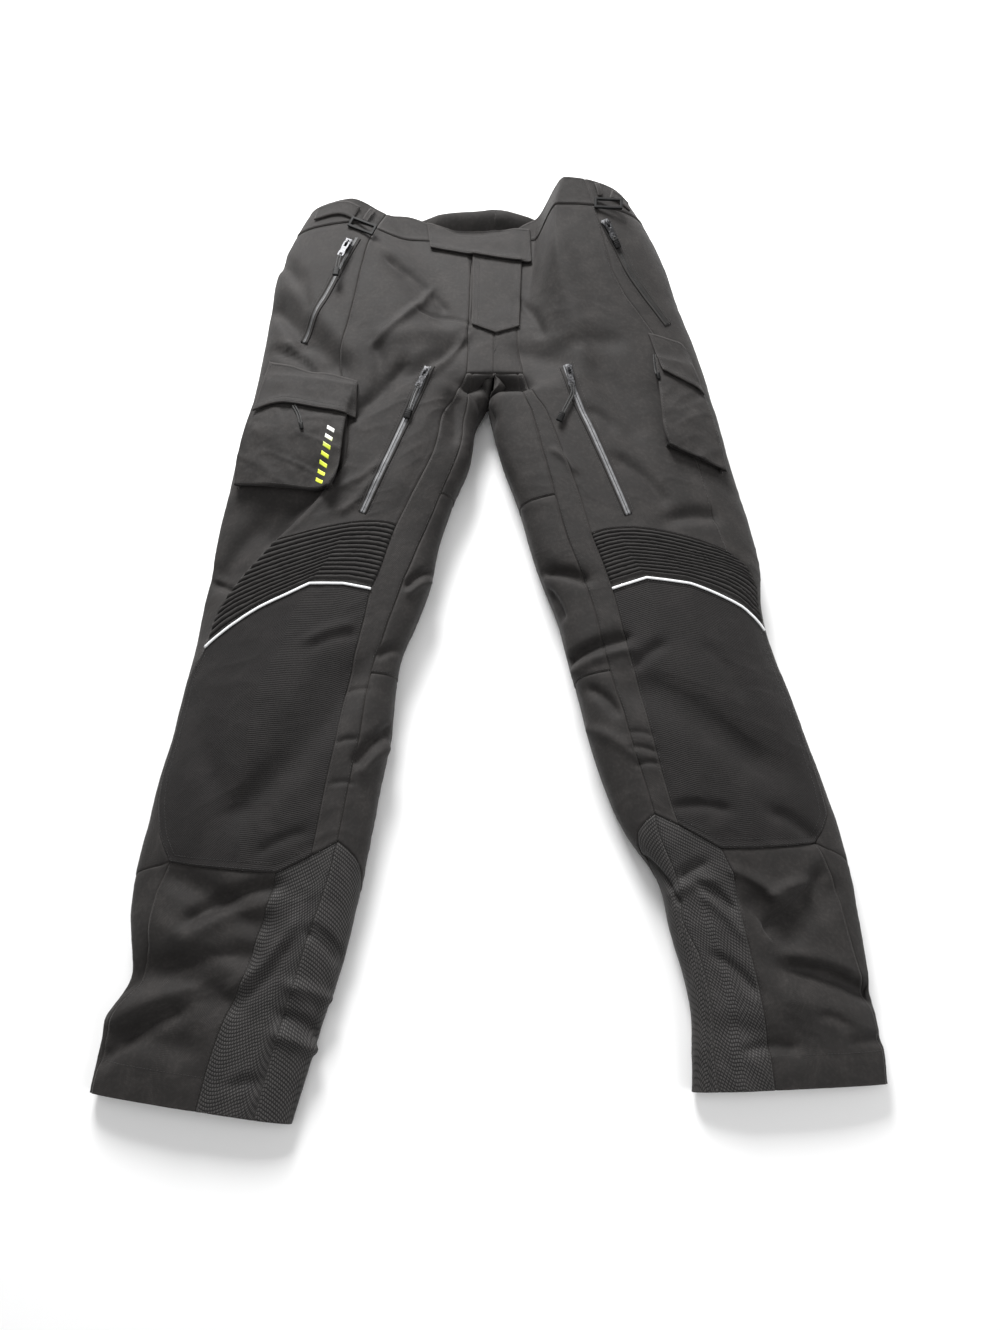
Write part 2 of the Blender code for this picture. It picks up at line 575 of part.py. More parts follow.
def rib_panel(leg):
    # Fourteen stretch ribs raised in the outer points over a plain inside
    points, normals = leg.block("rib top", "piping", FRONT, SIDE)
    outer = inset_edges(points, normals)
    inner = outer - normals * CLOTH
    steps, columns = outer.shape[0] - 1, outer.shape[1]
    fine = []
    for step in range(steps):
        for k in range(RIB_ROWS_PER_STEP):
            part = k / RIB_ROWS_PER_STEP
            line = outer[step] * (1 - part) + outer[step + 1] * part
            if (step * RIB_ROWS_PER_STEP + k) % 2:
                way = normals[step] * (1 - part) + normals[step + 1] * part
                to_piping = np.linalg.norm(line - outer[-1], axis=1, keepdims=True)
                height = RIB_HEIGHT * smooth((to_piping - PIPING_WIDTH) / RIB_FADE)
                line[1:-1] += unit(way[1:-1]) * height[1:-1]
            fine.append(line)
    fine.append(outer[-1])
    fine = np.array(fine)
    rows = len(fine)
    points = np.concatenate([fine.reshape(-1, 3), inner.reshape(-1, 3)])
    half = rows * columns
    faces = []
    for j in range(rows - 1):
        for i in range(columns - 1):
            a = j * columns + i
            faces.append([a, a + 1, a + columns + 1, a + columns])
    for j in range(steps):
        for i in range(columns - 1):
            a = half + j * columns + i
            faces.append([a, a + columns, a + columns + 1, a + 1])
    for i in range(columns - 1):
        faces.append([i + 1, i, half + i, half + i + 1])
        a = (rows - 1) * columns + i
        b = half + steps * columns + i
        faces.append([a, a + 1, b + 1, b])
    for i, flip in ((0, False), (columns - 1, True)):
        for j in range(steps):
            above = half + j * columns + i
            below = above + columns
            fan = [j * RIB_ROWS_PER_STEP * columns + k * columns + i for k in range(RIB_ROWS_PER_STEP + 1)]
            side = [[a, b, above] for a, b in zip(fan, fan[1:])] + [[fan[-1], below, above]]
            faces.extend([s[::-1] for s in side] if flip else side)
    return make_object(f"rib_panel_{leg.side}", points, faces, DENSE)


def make_panels(leg):
    leg_panel(leg, "front_thigh", "waist seam", "rib top", FRONT, SIDE, SHELL)
    rib_panel(leg)
    leg_panel(leg, "knee_panel", "piping", "knee end", FRONT, SIDE, DENSE)
    leg_panel(leg, "inner_strip", "crotch", "knee end", INNER, FRONT, SHELL)
    leg_panel(leg, "gusset", "crotch", "gusset", 0, INNER, SHELL)
    leg_panel(leg, "inner_thigh", "gusset", "knee level", 0, INNER, SHELL)
    leg_panel(leg, "inner_knee", "knee level", "knee end", 0, INNER, SHELL)
    leg_panel(leg, "calf_inner", "knee end", "hem", 0, INNER, TEXTURED)
    leg_panel(leg, "calf_strip", "knee end", "hem", INNER, STRIP, TEXTURED)
    leg_panel(leg, "calf_front", "knee end", "hem", STRIP, SIDE, SHELL)
    leg_panel(leg, "back_thigh", "waist seam", "knee end", SIDE, LAST, SHELL)
    leg_panel(leg, "back_calf", "knee end", "hem", SIDE, LAST, SHELL)


def make_centre(right, left):
    points, normals = across_both(right, left, "waist top", "crotch", 0, FRONT)
    panel("fly_base", points, normals, SHELL)
    points, normals = across_both(right, left, "waist top", "waist seam", SIDE, LAST)
    panel("waistband_back", points, normals, SHELL, BAND)
    for leg in (right, left):
        leg_panel(leg, "waistband_front", "waist top", "waist seam", FRONT, SIDE, SHELL, BAND)


def spread(path, count):
    # Points at even distances along a path in plan
    path = np.array(path, float)
    run = np.concatenate([[0], np.cumsum(np.linalg.norm(np.diff(path, axis=0), axis=1))])
    at = np.linspace(0, run[-1], count)
    return np.stack([np.interp(at, run, path[:, 0]), np.interp(at, run, path[:, 1])], axis=1)


def ruled(edge_a, edge_b, along, shares):
    # Plan grid between two edges, with columns at the given shares from one to the other
    a = spread(edge_a, along)
    b = spread(edge_b, along)
    return np.stack([a + (b - a) * share for share in shares], axis=1)


def on_cover(plan, reach=REACH):
    # The plan grid laid on whatever is built there, lifted clear of it
    lines, columns = plan.shape[:2]
    height = [[cover.clear_height(*plan[j, i], reach) for i in range(columns)] for j in range(lines)]
    laid = np.concatenate([plan, (np.array(height) + LIFT)[..., None]], axis=-1)
    for _ in range(SETTLE_ROUNDS):
        settle(laid)
    return laid


def lower_height(corners, a, b):
    # Height in a cell, under whichever way it is cut into two triangles
    (near, right), (down, far) = corners
    if a >= b:
        one = near + (down - near) * a + (far - down) * b
    else:
        one = near + (right - near) * b + (far - right) * a
    if a + b <= 1:
        other = near + (down - near) * a + (right - near) * b
    else:
        other = far + (right - far) * (1 - a) + (down - far) * (1 - b)
    return min(one, other)


def settle(laid):
    # Raise the corners of each cell that dips too near what is under it
    lines, columns = laid.shape[:2]
    shares = np.linspace(0, 1, SETTLE_SAMPLES)
    for j in range(lines - 1):
        for i in range(columns - 1):
            short = 0
            cell = laid[j:j + 2, i:i + 2]
            for a in shares:
                for b in shares:
                    x, y = ((cell[0, 0] * (1 - a) + cell[1, 0] * a) * (1 - b)
                            + (cell[0, 1] * (1 - a) + cell[1, 1] * a) * b)[:2]
                    short = max(short, cover.height(x, y) + CLEAR - lower_height(cell[..., 2], a, b))
            laid[j:j + 2, i:i + 2, 2] += short


def lay(name, edge_a, edge_b, along, across, thickness, finish):
    # A flat cloth or tape piece between two edges, lying on what is under it
    under = on_cover(ruled(edge_a, edge_b, along, np.linspace(0, 1, across)))
    return wall(name, under + (0, 0, thickness), under, finish)


def ribbon_edges(path, width_start, width_end, count=12):
    # The two edges of a band that follows a path in plan
    middle = spread(path, count)
    way = unit(np.gradient(middle, axis=0))
    half = np.linspace(width_start, width_end, count)[:, None] / 2
    aside = np.stack([-way[:, 1], way[:, 0]], axis=1)
    return middle + aside * half, middle - aside * half


def make_piping(leg):
    # A rolled reflective edge along the seam between the ribs and the knee panel
    line = leg.start["piping"]
    columns = slice(FRONT, SIDE + 1)
    seam = leg.points[line, columns]
    normals = leg.normals[line, columns]
    along = np.gradient(seam, axis=0)
    aside = unit(np.cross(normals, along)) * PIPING_WIDTH / 2
    up = normals[:, None]
    low = np.stack([seam + aside, seam - aside], axis=1) + up * PIPING_LIFT
    crown = np.stack([seam + aside / 2, seam - aside / 2], axis=1) + up * (PIPING_LIFT + PIPING_HEIGHT)
    wall(f"piping_{leg.side}", crown, low, REFLECTIVE)


def make_bag(name, pocket):
    # Patch pocket with bellows sides: a raised front on two rings of side wall, open behind
    width = math.dist(pocket.inner_edge[1], pocket.outer_edge[1])
    length = math.dist(pocket.inner_edge[0], pocket.inner_edge[-1])
    outer_plan = bag_plan(pocket, 0, BELLOWS_SLOPE, width, length)
    inner_plan = bag_plan(pocket, CLOTH, BELLOWS_SLOPE, width, length)
    outer = on_cover(outer_plan)
    inner = on_cover(inner_plan)
    rise = bag_rise(outer.shape[0], outer.shape[1], pocket)
    outer[..., 2] += rise
    inner[..., 2] += np.maximum(rise - CLOTH, 0)
    # Both rims share one foot, and the front stays its thickness above the inside
    outer[1:-1, 1:-1, 2] = np.maximum(outer[1:-1, 1:-1, 2], inner[1:-1, 1:-1, 2] + CLOTH)
    wall(name, outer, inner, SHELL)


def bag_plan(pocket, inset, slope, width, length):
    first_w = inset / width
    first_l = inset / length
    inside = np.linspace(first_w + slope / width, 1 - first_w - slope / width, BAG_COLUMNS)
    shares = np.concatenate([[first_w], inside, [1 - first_w]])
    grid = ruled(pocket.inner_edge, pocket.outer_edge, BAG_STEPS, shares)
    down = np.linspace(first_l + slope / length, 1 - first_l - slope / length, BAG_LINES)
    lines = np.concatenate([[first_l], down, [1 - first_l]]) * (BAG_STEPS - 1)
    low = np.clip(np.floor(lines).astype(int), 0, BAG_STEPS - 2)
    part = (lines - low)[:, None, None]
    return grid[low] * (1 - part) + grid[low + 1] * part


def bag_rise(lines, columns, pocket):
    # Height of the front over its foot: nothing on the rim, low under the flap, full below
    down = np.linspace(0, 1, lines)[:, None]
    over = np.linspace(0, 1, columns)[None, :]
    rise = pocket.mouth_height + (pocket.height - pocket.mouth_height) * smooth(down / BAG_FULL)
    rise = rise * (1 - BAG_LEAN * over)
    rise[0] = rise[-1] = 0
    rise[:, 0] = rise[:, -1] = 0
    return rise


def make_pocket(side, pocket):
    make_bag(f"cargo_bag_{side}", pocket)
    lay(f"cargo_flap_{side}", pocket.flap_top, pocket.flap_low, 9, 5, FLAP, SHELL)
    edges = ribbon_edges(pocket.puller, CORD, CORD, 5)
    lay(f"cargo_puller_{side}", *edges, 5, 2, CORD, BLACK_PLASTIC)


def make_slider(name, at, toward):
    way = unit(np.array(toward, float) - at)
    start = at - way * SLIDER_LENGTH * 0.6
    end = at + way * SLIDER_LENGTH * 0.4
    edges = ribbon_edges([start, end], SLIDER_WIDTH, SLIDER_WIDTH * 0.8, 3)
    plan = ruled(*edges, 3, (0, 1))
    under = on_cover(plan, SLIDER_REACH)
    top = under.copy()
    top[..., 2] = under[..., 2].max() + SLIDER_HEIGHT
    wall(name, top, under, GUNMETAL)
    return top[0, 0, 2]


def make_pull(name, zipper, top_z):
    # Rigid tab and cord puller, hinged at the slider and resting on the cloth below it
    path = np.array(zipper.pull, float)
    edges = ribbon_edges(path, TAB_WIDTH, PULLER_WIDTH, PULL_STEPS)
    plan = ruled(*edges, PULL_STEPS, (0, 1))
    run = np.linalg.norm(plan - plan[:1].mean(axis=1, keepdims=True), axis=-1)
    run[0] = 0              # the hinged end is level, so that it turns clear of its slider
    ground = on_cover(plan)[..., 2]
    far = run > PULL_NEAR
    slope = 0
    for _ in range(4):
        hinge_z = top_z + HINGE_CLEAR + max(0, -slope) * PULL_NEAR
        slope = np.max((ground[far] - hinge_z) / run[far])
    under = np.concatenate([plan, (hinge_z + slope * run)[..., None]], axis=-1)
    points = np.concatenate([(under + (0, 0, PULL_HEIGHT)).reshape(-1, 3), under.reshape(-1, 3)])
    faces = wall_faces(PULL_STEPS, 2)
    origin = (*path[0], hinge_z + PULL_HEIGHT / 2)
    make_object(name, points, faces, BLACK_PLASTIC, origin)


def make_zip(side, zipper):
    edges = ribbon_edges(zipper.tape, zipper.width_top, zipper.width_low, 10)
    lay(f"{zipper.name}_tape_{side}", *edges, 10, 3, TAPE_HEIGHT, TAPE)
    top_z = make_slider(f"{zipper.name}_slider_{side}", np.array(zipper.pull[0], float), zipper.pull[1])
    make_pull(f"{zipper.name}_pull_{side}", zipper, top_z)


def make_buckle(side, adjuster):
    # Plain rectangular frame: its outer and inner outline, joined top and bottom
    angle = math.radians(adjuster.angle)
    along = np.array([math.cos(angle), math.sin(angle)])
    aside = np.array([-along[1], along[0]])
    middle = np.array(adjuster.buckle, float)
    rings = []
    for inset in (0, BUCKLE_BAR):
        half_l = BUCKLE_LENGTH / 2 - inset
        half_w = BUCKLE_WIDTH / 2 - inset
        signs = ((-1, -1), (1, -1), (1, 1), (-1, 1))
        rings.append([middle + along * half_l * a + aside * half_w * b for a, b in signs])
    plan = ruled(rings[0][:2], rings[0][3:1:-1], BUCKLE_LOOKS, np.linspace(0, 1, BUCKLE_LOOKS))
    low = max(cover.clear_height(*p, BUCKLE_REACH) for p in plan.reshape(-1, 2)) + LIFT
    points = []
    for z in (low, low + BUCKLE_HEIGHT):
        for ring in rings:
            points.extend((*p, z) for p in ring)
    faces = []
    for i in range(4):
        k = (i + 1) % 4
        faces.append([i, k, 4 + k, 4 + i])
        faces.append([8 + i, 12 + i, 12 + k, 8 + k])
        faces.append([i, 8 + i, 8 + k, k])
        faces.append([4 + i, 4 + k, 12 + k, 12 + i])
    make_object(f"adjuster_buckle_{side}", points, faces, BLACK_PLASTIC)


def make_adjuster(side, adjuster):
    lay(f"adjuster_strap_{side}", adjuster.strap_top, adjuster.strap_low, 6, 3, CLOTH, SHELL)
    make_buckle(side, adjuster)
    edges = ribbon_edges(adjuster.loop, LOOP_WIDTH, LOOP_WIDTH, 5)
    lay(f"belt_loop_{side}", *edges, 5, 2, CLOTH, SHELL)


def make_closure():
    lay("fly_flap", FLY_TOP, FLY_LOW, 7, 6, FLAP, SHELL)
    lay("closure_tab", TAB_TOP, TAB_LOW, 11, 4, FLAP, SHELL)


def clear_scene():
    for item in list(bpy.data.objects):
        bpy.data.objects.remove(item)


def main():
    clear_scene()
    right = Leg("r", ROWS_R, RISES_R, (INNER_SEAM_R, FRONT_SEAM_R, STRIP_SEAM_R, SIDE_SEAM_R),
                LINES_R, SIDE_DROPS_R)
    left = Leg("l", ROWS_L, RISES_L, (INNER_SEAM_L, FRONT_SEAM_L, STRIP_SEAM_L, SIDE_SEAM_L),
               LINES_L, SIDE_DROPS_L)
    for leg in (right, left):
        make_panels(leg)
    make_centre(right, left)
    for leg in (right, left):
        make_piping(leg)
    make_closure()
    trims = (("r", ZIPS_R, POCKET_R, ADJUSTER_R), ("l", ZIPS_L, POCKET_L, ADJUSTER_L))
    for side, zips, pocket, adjuster in trims:
        for zipper in zips:
            make_zip(side, zipper)
        make_pocket(side, pocket)
        make_adjuster(side, adjuster)


main()
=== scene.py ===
# Motorcycle trousers laid flat: cloth, seams, zips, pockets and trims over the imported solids.
# Plan sizes are in millimetres, +Y towards the waist and +X towards the wearer's left leg.
import math
import bmesh
import bpy
import numpy as np
from mathutils import Matrix, Vector
from mathutils.bvhtree import BVHTree


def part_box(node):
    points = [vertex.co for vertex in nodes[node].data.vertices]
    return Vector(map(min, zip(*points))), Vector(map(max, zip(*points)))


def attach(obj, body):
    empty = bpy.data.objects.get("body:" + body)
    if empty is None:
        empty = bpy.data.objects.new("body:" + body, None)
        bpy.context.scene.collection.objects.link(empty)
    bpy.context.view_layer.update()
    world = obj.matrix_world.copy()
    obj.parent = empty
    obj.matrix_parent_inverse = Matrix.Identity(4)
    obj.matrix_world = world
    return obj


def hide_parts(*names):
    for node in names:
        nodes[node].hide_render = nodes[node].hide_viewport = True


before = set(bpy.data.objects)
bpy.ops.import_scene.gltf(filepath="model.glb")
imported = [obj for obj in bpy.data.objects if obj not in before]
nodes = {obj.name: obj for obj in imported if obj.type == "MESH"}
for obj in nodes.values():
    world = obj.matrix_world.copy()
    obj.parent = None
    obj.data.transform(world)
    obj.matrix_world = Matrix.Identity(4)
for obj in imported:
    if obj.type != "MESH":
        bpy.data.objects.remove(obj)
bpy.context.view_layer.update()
mm = 0.001
centreX = -10.99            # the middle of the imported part, in the plan's own sizes
centreY = 5.0
skyHeight = 0.3             # where rays down onto the garment start, m
floorGap = 0.25             # the cloth stays this far over the floor, mm
print("frame loaded with", len(nodes), "nodes")

# The garment's own sizes: sections (inner x, y, outer x, y, height of the edge and of the crown)
rowsRight = [
    (-6, 540, -240, 530, 20, 60), (-6, 500, -256, 495, 22, 60), (-6, 440, -274, 440, 26, 62),
    (-6, 380, -279, 385, 28, 66), (-6, 330, -284, 335, 28, 68), (-6, 291, -289, 292, 28, 68),
    (-15.4, 262, -293, 262, 28, 68), (-29, 232, -299, 235, 28, 68), (-36, 185, -306, 195, 28, 68),
    (-57, 130, -314, 150, 27, 68), (-71, 80, -322, 100, 26, 66), (-79, 35, -328, 50, 26, 66),
    (-95, -10, -334, 0, 26, 66), (-110, -50, -339, -50, 26, 66), (-116, -95, -347, -92, 26, 66),
    (-119, -140, -355, -140, 26, 64), (-128, -190, -366, -190, 25, 60),
    (-136, -240, -375, -238, 24, 56), (-146, -295, -384, -290, 22, 50),
    (-155, -340, -385, -335, 20, 46), (-166, -385, -381, -385, 18, 42),
    (-180, -430, -399, -425, 16, 38), (-193, -475, -410, -465, 14, 34),
    (-208, -530, -414, -500, 12, 28),
]
rowsLeft = [
    (-6, 540, 160, 532, 24, 88), (-6, 500, 180, 497, 26, 86), (-6, 440, 203, 440, 28, 82),
    (-6, 380, 218, 385, 28, 76), (-6, 330, 234, 335, 28, 72), (-6, 291, 245, 292, 28, 70),
    (-13.6, 262, 251, 262, 28, 68), (-9, 232, 258, 235, 28, 68), (3, 185, 265, 195, 28, 68),
    (22, 130, 275, 150, 27, 68), (35, 80, 287, 100, 26, 68), (49, 37, 295, 55, 26, 66),
    (65, -8, 294, 2, 26, 66), (76, -53, 303, -48, 26, 66), (87, -97, 317, -92, 26, 66),
    (97, -140, 331, -140, 26, 64), (112, -190, 346, -190, 25, 60), (131, -238, 360, -240, 24, 56),
    (166, -293, 369, -292, 22, 50), (176, -340, 375, -340, 20, 46), (190, -388, 379, -388, 18, 42),
    (197, -430, 384, -430, 16, 38), (195, -465, 391, -465, 14, 34), (194, -500, 392, -492, 12, 28),
]
# How the front rises from the fly, in the top six rows: height at the fly, where the rise starts and ends
risesRight = [
    (20, -132, -188), (22, -110, -186), (32, -70, -160), (42, -55, -140), (50, -45, -120),
    (52, -35, -100),
]
risesLeft = [
    (20, 44, 78), (22, 42, 68), (32, 38, 68), (42, 26, 80), (50, 25, 100), (52, 25, 100),
]
# Seams down the leg: section number, and share of the way from the inner to the outer edge
innerSeamRight = [
    (0, 0.19), (5, 0.2), (6.2, 0.174), (7.1, 0.128), (8, 0.146), (8.8, 0.142), (9.5, 0.15),
    (10.3, 0.184), (11, 0.212), (12, 0.212), (12.8, 0.2), (13.5, 0.214), (14.5, 0.23), (17.2, 0.234),
    (18.1, 0.242), (19.1, 0.272), (20.1, 0.29), (21.2, 0.276), (23, 0.276),
]
frontSeamRight = [
    (0, 0.215), (5, 0.224), (6.6, 0.24), (7.5, 0.246), (9, 0.264), (9.8, 0.288), (11.4, 0.32),
    (12.6, 0.296), (13.4, 0.294), (14.5, 0.316), (17.5, 0.316),
]
stripSeamRight = [
    (17.8, 0.4), (18.9, 0.426), (20, 0.456), (21, 0.464), (23, 0.472),
]
sideSeamRight = [
    (0, 0.556), (1.9, 0.558), (3.4, 0.578), (4.7, 0.596), (5.1, 0.588), (7, 0.525), (8.6, 0.492),
    (9.2, 0.528), (10.1, 0.608), (10.8, 0.67), (12, 0.796), (12.9, 0.824), (13.6, 0.89), (14.4, 0.912),
    (16, 0.898), (16.85, 0.856), (17.66, 0.735), (18.2, 0.764), (19.5, 0.8), (20.2, 0.86),
    (21.6, 0.905), (23, 0.92),
]
innerSeamLeft = [
    (0, 0.2), (5, 0.212), (6, 0.258), (7, 0.278), (8, 0.278), (9, 0.26), (9.8, 0.256), (11.1, 0.27),
    (12.6, 0.27), (13.8, 0.265), (14.6, 0.274), (16, 0.272), (16.8, 0.262), (18, 0.19), (18.7, 0.158),
    (19.4, 0.206), (20.3, 0.204), (21.6, 0.196), (23, 0.23),
]
frontSeamLeft = [
    (0, 0.218), (4, 0.22), (5, 0.236), (6, 0.292), (6.9, 0.326), (8.1, 0.34), (10, 0.342),
    (11.5, 0.354), (13.2, 0.352), (15, 0.348), (17, 0.328),
]
stripSeamLeft = [
    (17.4, 0.42), (18.6, 0.416), (20.5, 0.414), (21.5, 0.42), (23, 0.44),
]
sideSeamLeft = [
    (0, 0.6), (1.7, 0.586), (2.3, 0.584), (2.8, 0.604), (3.6, 0.664), (4, 0.69), (5, 0.712), (7, 0.722),
    (9, 0.726), (10.2, 0.724), (10.75, 0.732), (11.4, 0.88), (12.5, 0.894), (14, 0.905), (16.3, 0.882),
    (16.8, 0.85), (17.28, 0.746), (17.9, 0.776), (19.4, 0.816), (19.9, 0.842), (20.3, 0.91),
    (21.6, 0.925), (23, 0.925),
]
# Lines across the leg: name, steps down to the next one, and the section number at each anchor column
linesRight = [
    ('waist top', 2, 0.5, 0.5, 0.5, 0.42, 0.1, 0, 0, 0),
    ('waist seam', 8, 1, 1, 1, 1, 1, 1, 1, 1),
    ('crotch', 1, 5, 5, 5, 5, 5, 5, 5, 5),
    ('leg start', 4, 6, 6, 6, 6, 6, 6, 6, 6),
    ('gusset', 2, 8.84, 8.84, 8.84, 8.84, 8.85, 9.1, 9.4, 8.84),
    ('rib top', 4, 9.8, 9.76, 9.76, 9.74, 9.82, 10.12, 10.38, 9.8),
    ('piping', 3, 11.4, 11.4, 11.4, 11.33, 11.38, 12.3, 12.88, 11.4),
    ('knee level', 6, 13.56, 13.52, 13.5, 13.5, 13.6, 13.9, 14.1, 13.56),
    ('knee end', 9, 18.4, 17.24, 17.5, 17.84, 17.82, 17.74, 17.66, 18.4),
    ('hem', 0, 23, 23, 23, 23, 23, 23, 23, 23),
]
linesLeft = [
    ('waist top', 2, 0.5, 0.4, 0.35, 0.1, 0, 0, 0, 0),
    ('waist seam', 8, 1, 1, 1, 1, 1, 1, 1, 1),
    ('crotch', 1, 5, 5, 5, 5, 5, 5, 5, 5),
    ('leg start', 4, 6, 6, 6, 6, 6, 6, 6, 6),
    ('gusset', 2, 9.1, 9.0, 8.98, 8.95, 8.95, 9.0, 9.1, 9.1),
    ('rib top', 4, 10.1, 10.04, 10.04, 10.0, 10.04, 10.45, 10.75, 10.1),
    ('piping', 3, 11.5, 11.5, 11.48, 11.29, 11.48, 12.0, 12.48, 11.5),
    ('knee level', 6, 13.7, 13.44, 13.44, 13.44, 13.5, 13.6, 13.7, 13.7),
    ('knee end', 9, 18.3, 16.72, 16.95, 17.4, 17.4, 17.34, 17.28, 18.3),
    ('hem', 0, 23, 23, 23, 23, 23, 23, 23, 23),
]
# Creases: from x, y to x, y, width and height; the largest are in the solids too
bigFolds = [
    (-262, 382, -192, 296, 13, -8), (-240, 396, -180, 318, 14, 4), (-118, 420, -74, 370, 12, -6),
    (-46, 330, -100, 282, 11, -6), (-60, 352, -130, 330, 14, 4), (-53, 250, -54, 212, 9, -7),
    (-70, 262, -112, 150, 16, 3), (-186, -88, -270, -226, 20, -6), (-332, -110, -300, -190, 16, -4),
    (-330, -292, -256, -330, 15, -7), (-352, -378, -286, -408, 16, -7),
    (-392, -440, -322, -456, 14, -5), (-344, -340, -290, -366, 15, 5), (30, 318, 66, 302, 14, -6),
    (70, 440, 96, 330, 18, 4), (116, 290, 150, 215, 16, -5), (152, -96, 288, -176, 17, -6),
    (46, 52, 90, 38, 9, -4), (78, -56, 124, -34, 9, -4), (258, -298, 296, -342, 14, -7),
    (300, -342, 340, -306, 13, -6), (292, -376, 362, -398, 14, -6), (238, -440, 300, -452, 14, -4),
    (300, -412, 350, -428, 14, 4),
]
# How far the side sinks beside the knee: section number and drop
sideDropsRight = [
    (7.6, 0), (8.8, 10), (9.6, 20), (11, 21), (12.2, 12), (13.2, 0),
]
smallFolds = [
    (-127, 443, -70, 390, 7, -3), (-86, 408, -145, 323, 5, 2.2), (-96, 376, -37, 363, 3, -1.2),
    (-45, 338, -87, 278, 5, 2.4), (-145, 317, -139, 273, 10, -2.5), (-266, 450, -230, 382, 8, -3),
    (-266, 378, -231, 319, 6, -2.5), (-230, 324, -202, 292, 5, -2.5), (-263, 321, -216, 284, 5, -3),
    (-248, 326, -208, 301, 5, 2), (-116, 286, -165, 233, 10, -4), (-140, 164, -178, 140, 5, 1.5),
    (-146, 145, -173, 112, 5, 1.5), (-311, 50, -279, 96, 12, -4), (-320, 36, -300, 24, 4, -3),
    (-207, -38, -167, -22, 5, 1.2), (-198, -45, -163, -32, 6, -1.2), (-244, -262, -210, -246, 6, -1.6),
    (-169, -149, -155, -146, 3, -1.3), (-174, -193, -158, -192, 3, -1), (-162, -94, -144, -91, 3, -1),
    (-149, -166, -120, -135, 6, -4.5), (-144, -176, -117, -151, 6, 2.5), (-126, -49, -116, -43, 5, -3),
    (-314, -329, -238, -299, 8, -4.5), (-306, -342, -244, -317, 9, 2.5),
    (-373, -390, -266, -367, 12, -4.5), (-397, -462, -334, -424, 10, -5),
    (-391, -429, -314, -401, 10, 3), (-212, -337, -269, -397, 7, 2), (-221, -363, -254, -404, 6, -2.2),
    (-221, -445, -191, -458, 6, 3), (-210, -397, -177, -409, 6, 2.5), (-215, -428, -191, -440, 7, -3.5),
    (-263, -491, -249, -489, 7, -1.8), (-192, -347, -170, -367, 6, -3), (258, -316, 284, -347, 9, -4.5),
    (327, -292, 287, -334, 9, -5), (244, -284, 283, -305, 6, 3), (283, -305, 312, -295, 6, 3),
    (190, -286, 206, -277, 5, -3), (183, -303, 216, -292, 5, 2), (209, -297, 235, -318, 5, -3),
    (214, -312, 245, -344, 5, 2), (225, -371, 254, -398, 6, -3), (298, -380, 374, -404, 8, -4.5),
    (307, -367, 357, -382, 8, 2), (328, -426, 344, -431, 6, -2), (252, -458, 289, -456, 6, -3),
    (360, -450, 384, -449, 5, -2), (77, -55, 133, -36, 5, -4), (82, -68, 138, -50, 5, 2),
    (150, -63, 170, -47, 7, -3), (189, -217, 232, -220, 6, -2.5), (292, -226, 325, -248, 8, -3),
    (228, -51, 256, -91, 7, -1.4), (96, -133, 140, -160, 6, 2), (102, -93, 122, -113, 6, -3),
    (142, -155, 161, -159, 3, -1.5), (148, -172, 163, -172, 3, -1.5), (142, -139, 158, -142, 3, -1),
    (56, 46, 91, 34, 5, -3.5), (54, 23, 68, -4, 4, -3), (64, 184, 83, 163, 4, 1.5),
    (-100, 30, -79, 49, 4, -3), (-100, 20, -77, 38, 4, 2), (81, 319, 124, 322, 12, -2),
    (106, 232, 124, 218, 8, -2), (140, 169, 182, 126, 8, -2.6), (197, 103, 234, 107, 9, -4),
    (24, 397, 48, 348, 6, -2), (-32, 276, 22, 276, 8, -9), (-28, 262, -12, 240, 7, -3),
    (-156, -80, -266, -216, 16, -4), (176, -92, 262, -166, 16, -3), (-192, 156, -250, 86, 9, -3.5),
    (-177, 160, -247, 78, 5, 1.6), (-38, 472, -37, 354, 2.2, -1.0), (153, -271, 184, -312, 3, -3),
    (-190, -338, -158, -372, 3, -2),
]
backFolds = [
    (-250, 470, -150, 400, 16, 3.5), (-60, 420, -150, 350, 14, 3.0), (60, 430, 170, 370, 16, 3.5),
    (-200, 300, -90, 240, 15, 3.0), (80, 290, 210, 250, 14, 3.5), (-290, 140, -180, 90, 14, 3.0),
    (90, 120, 240, 150, 14, 3.0), (-300, -20, -190, -60, 13, 4.0), (-320, -70, -200, -40, 12, 3.0),
    (130, -30, 270, -70, 13, 4.0), (140, -80, 260, -50, 11, 3.0), (-330, -200, -220, -250, 14, 3.5),
    (180, -220, 330, -180, 14, 3.5), (-360, -340, -240, -370, 12, 3.5), (220, -340, 350, -370, 13, 3.5),
    (-370, -440, -270, -420, 11, 2.5), (240, -430, 350, -450, 11, 2.5), (0, 520, -30, 380, 18, 2.5),
]

# Columns of the grid, from the fly or inner edge over the outer edge to the back
inner, front, strip, mid, outer, side, last = 4, 5, 7, 9, 12, 14, 24
crotchRow = 5
legRow = 6
innerShares = (0, 0.42, 0.55, 0.75, 1)
sideShares = (0, 0.12, 0.40, 0.70, 0.92, 1)
underAcross = (1.06, 1.15, 1.50)
cloth = {
    "cell": 3.3,            # size of the finest squares, mm
    "ribs": 14,
    "ribHeight": 2.6,
    "billow": 1.1,          # broad unevenness of the cloth
    "crumple": 0.75,        # short crisp creases
    "folds": 1.9,           # depth of the placed creases, against the table
    "frontDip": 21.0,       # how far the front's top edge drops at the fly
    "backRise": 21.0,       # how high the back's band stands up behind it
    "underLift": 1.6,       # how far the back lifts off the floor in its creases
}


def smooth(x):
    x = np.clip(x, 0, 1)
    return x * x * (3 - 2 * x)


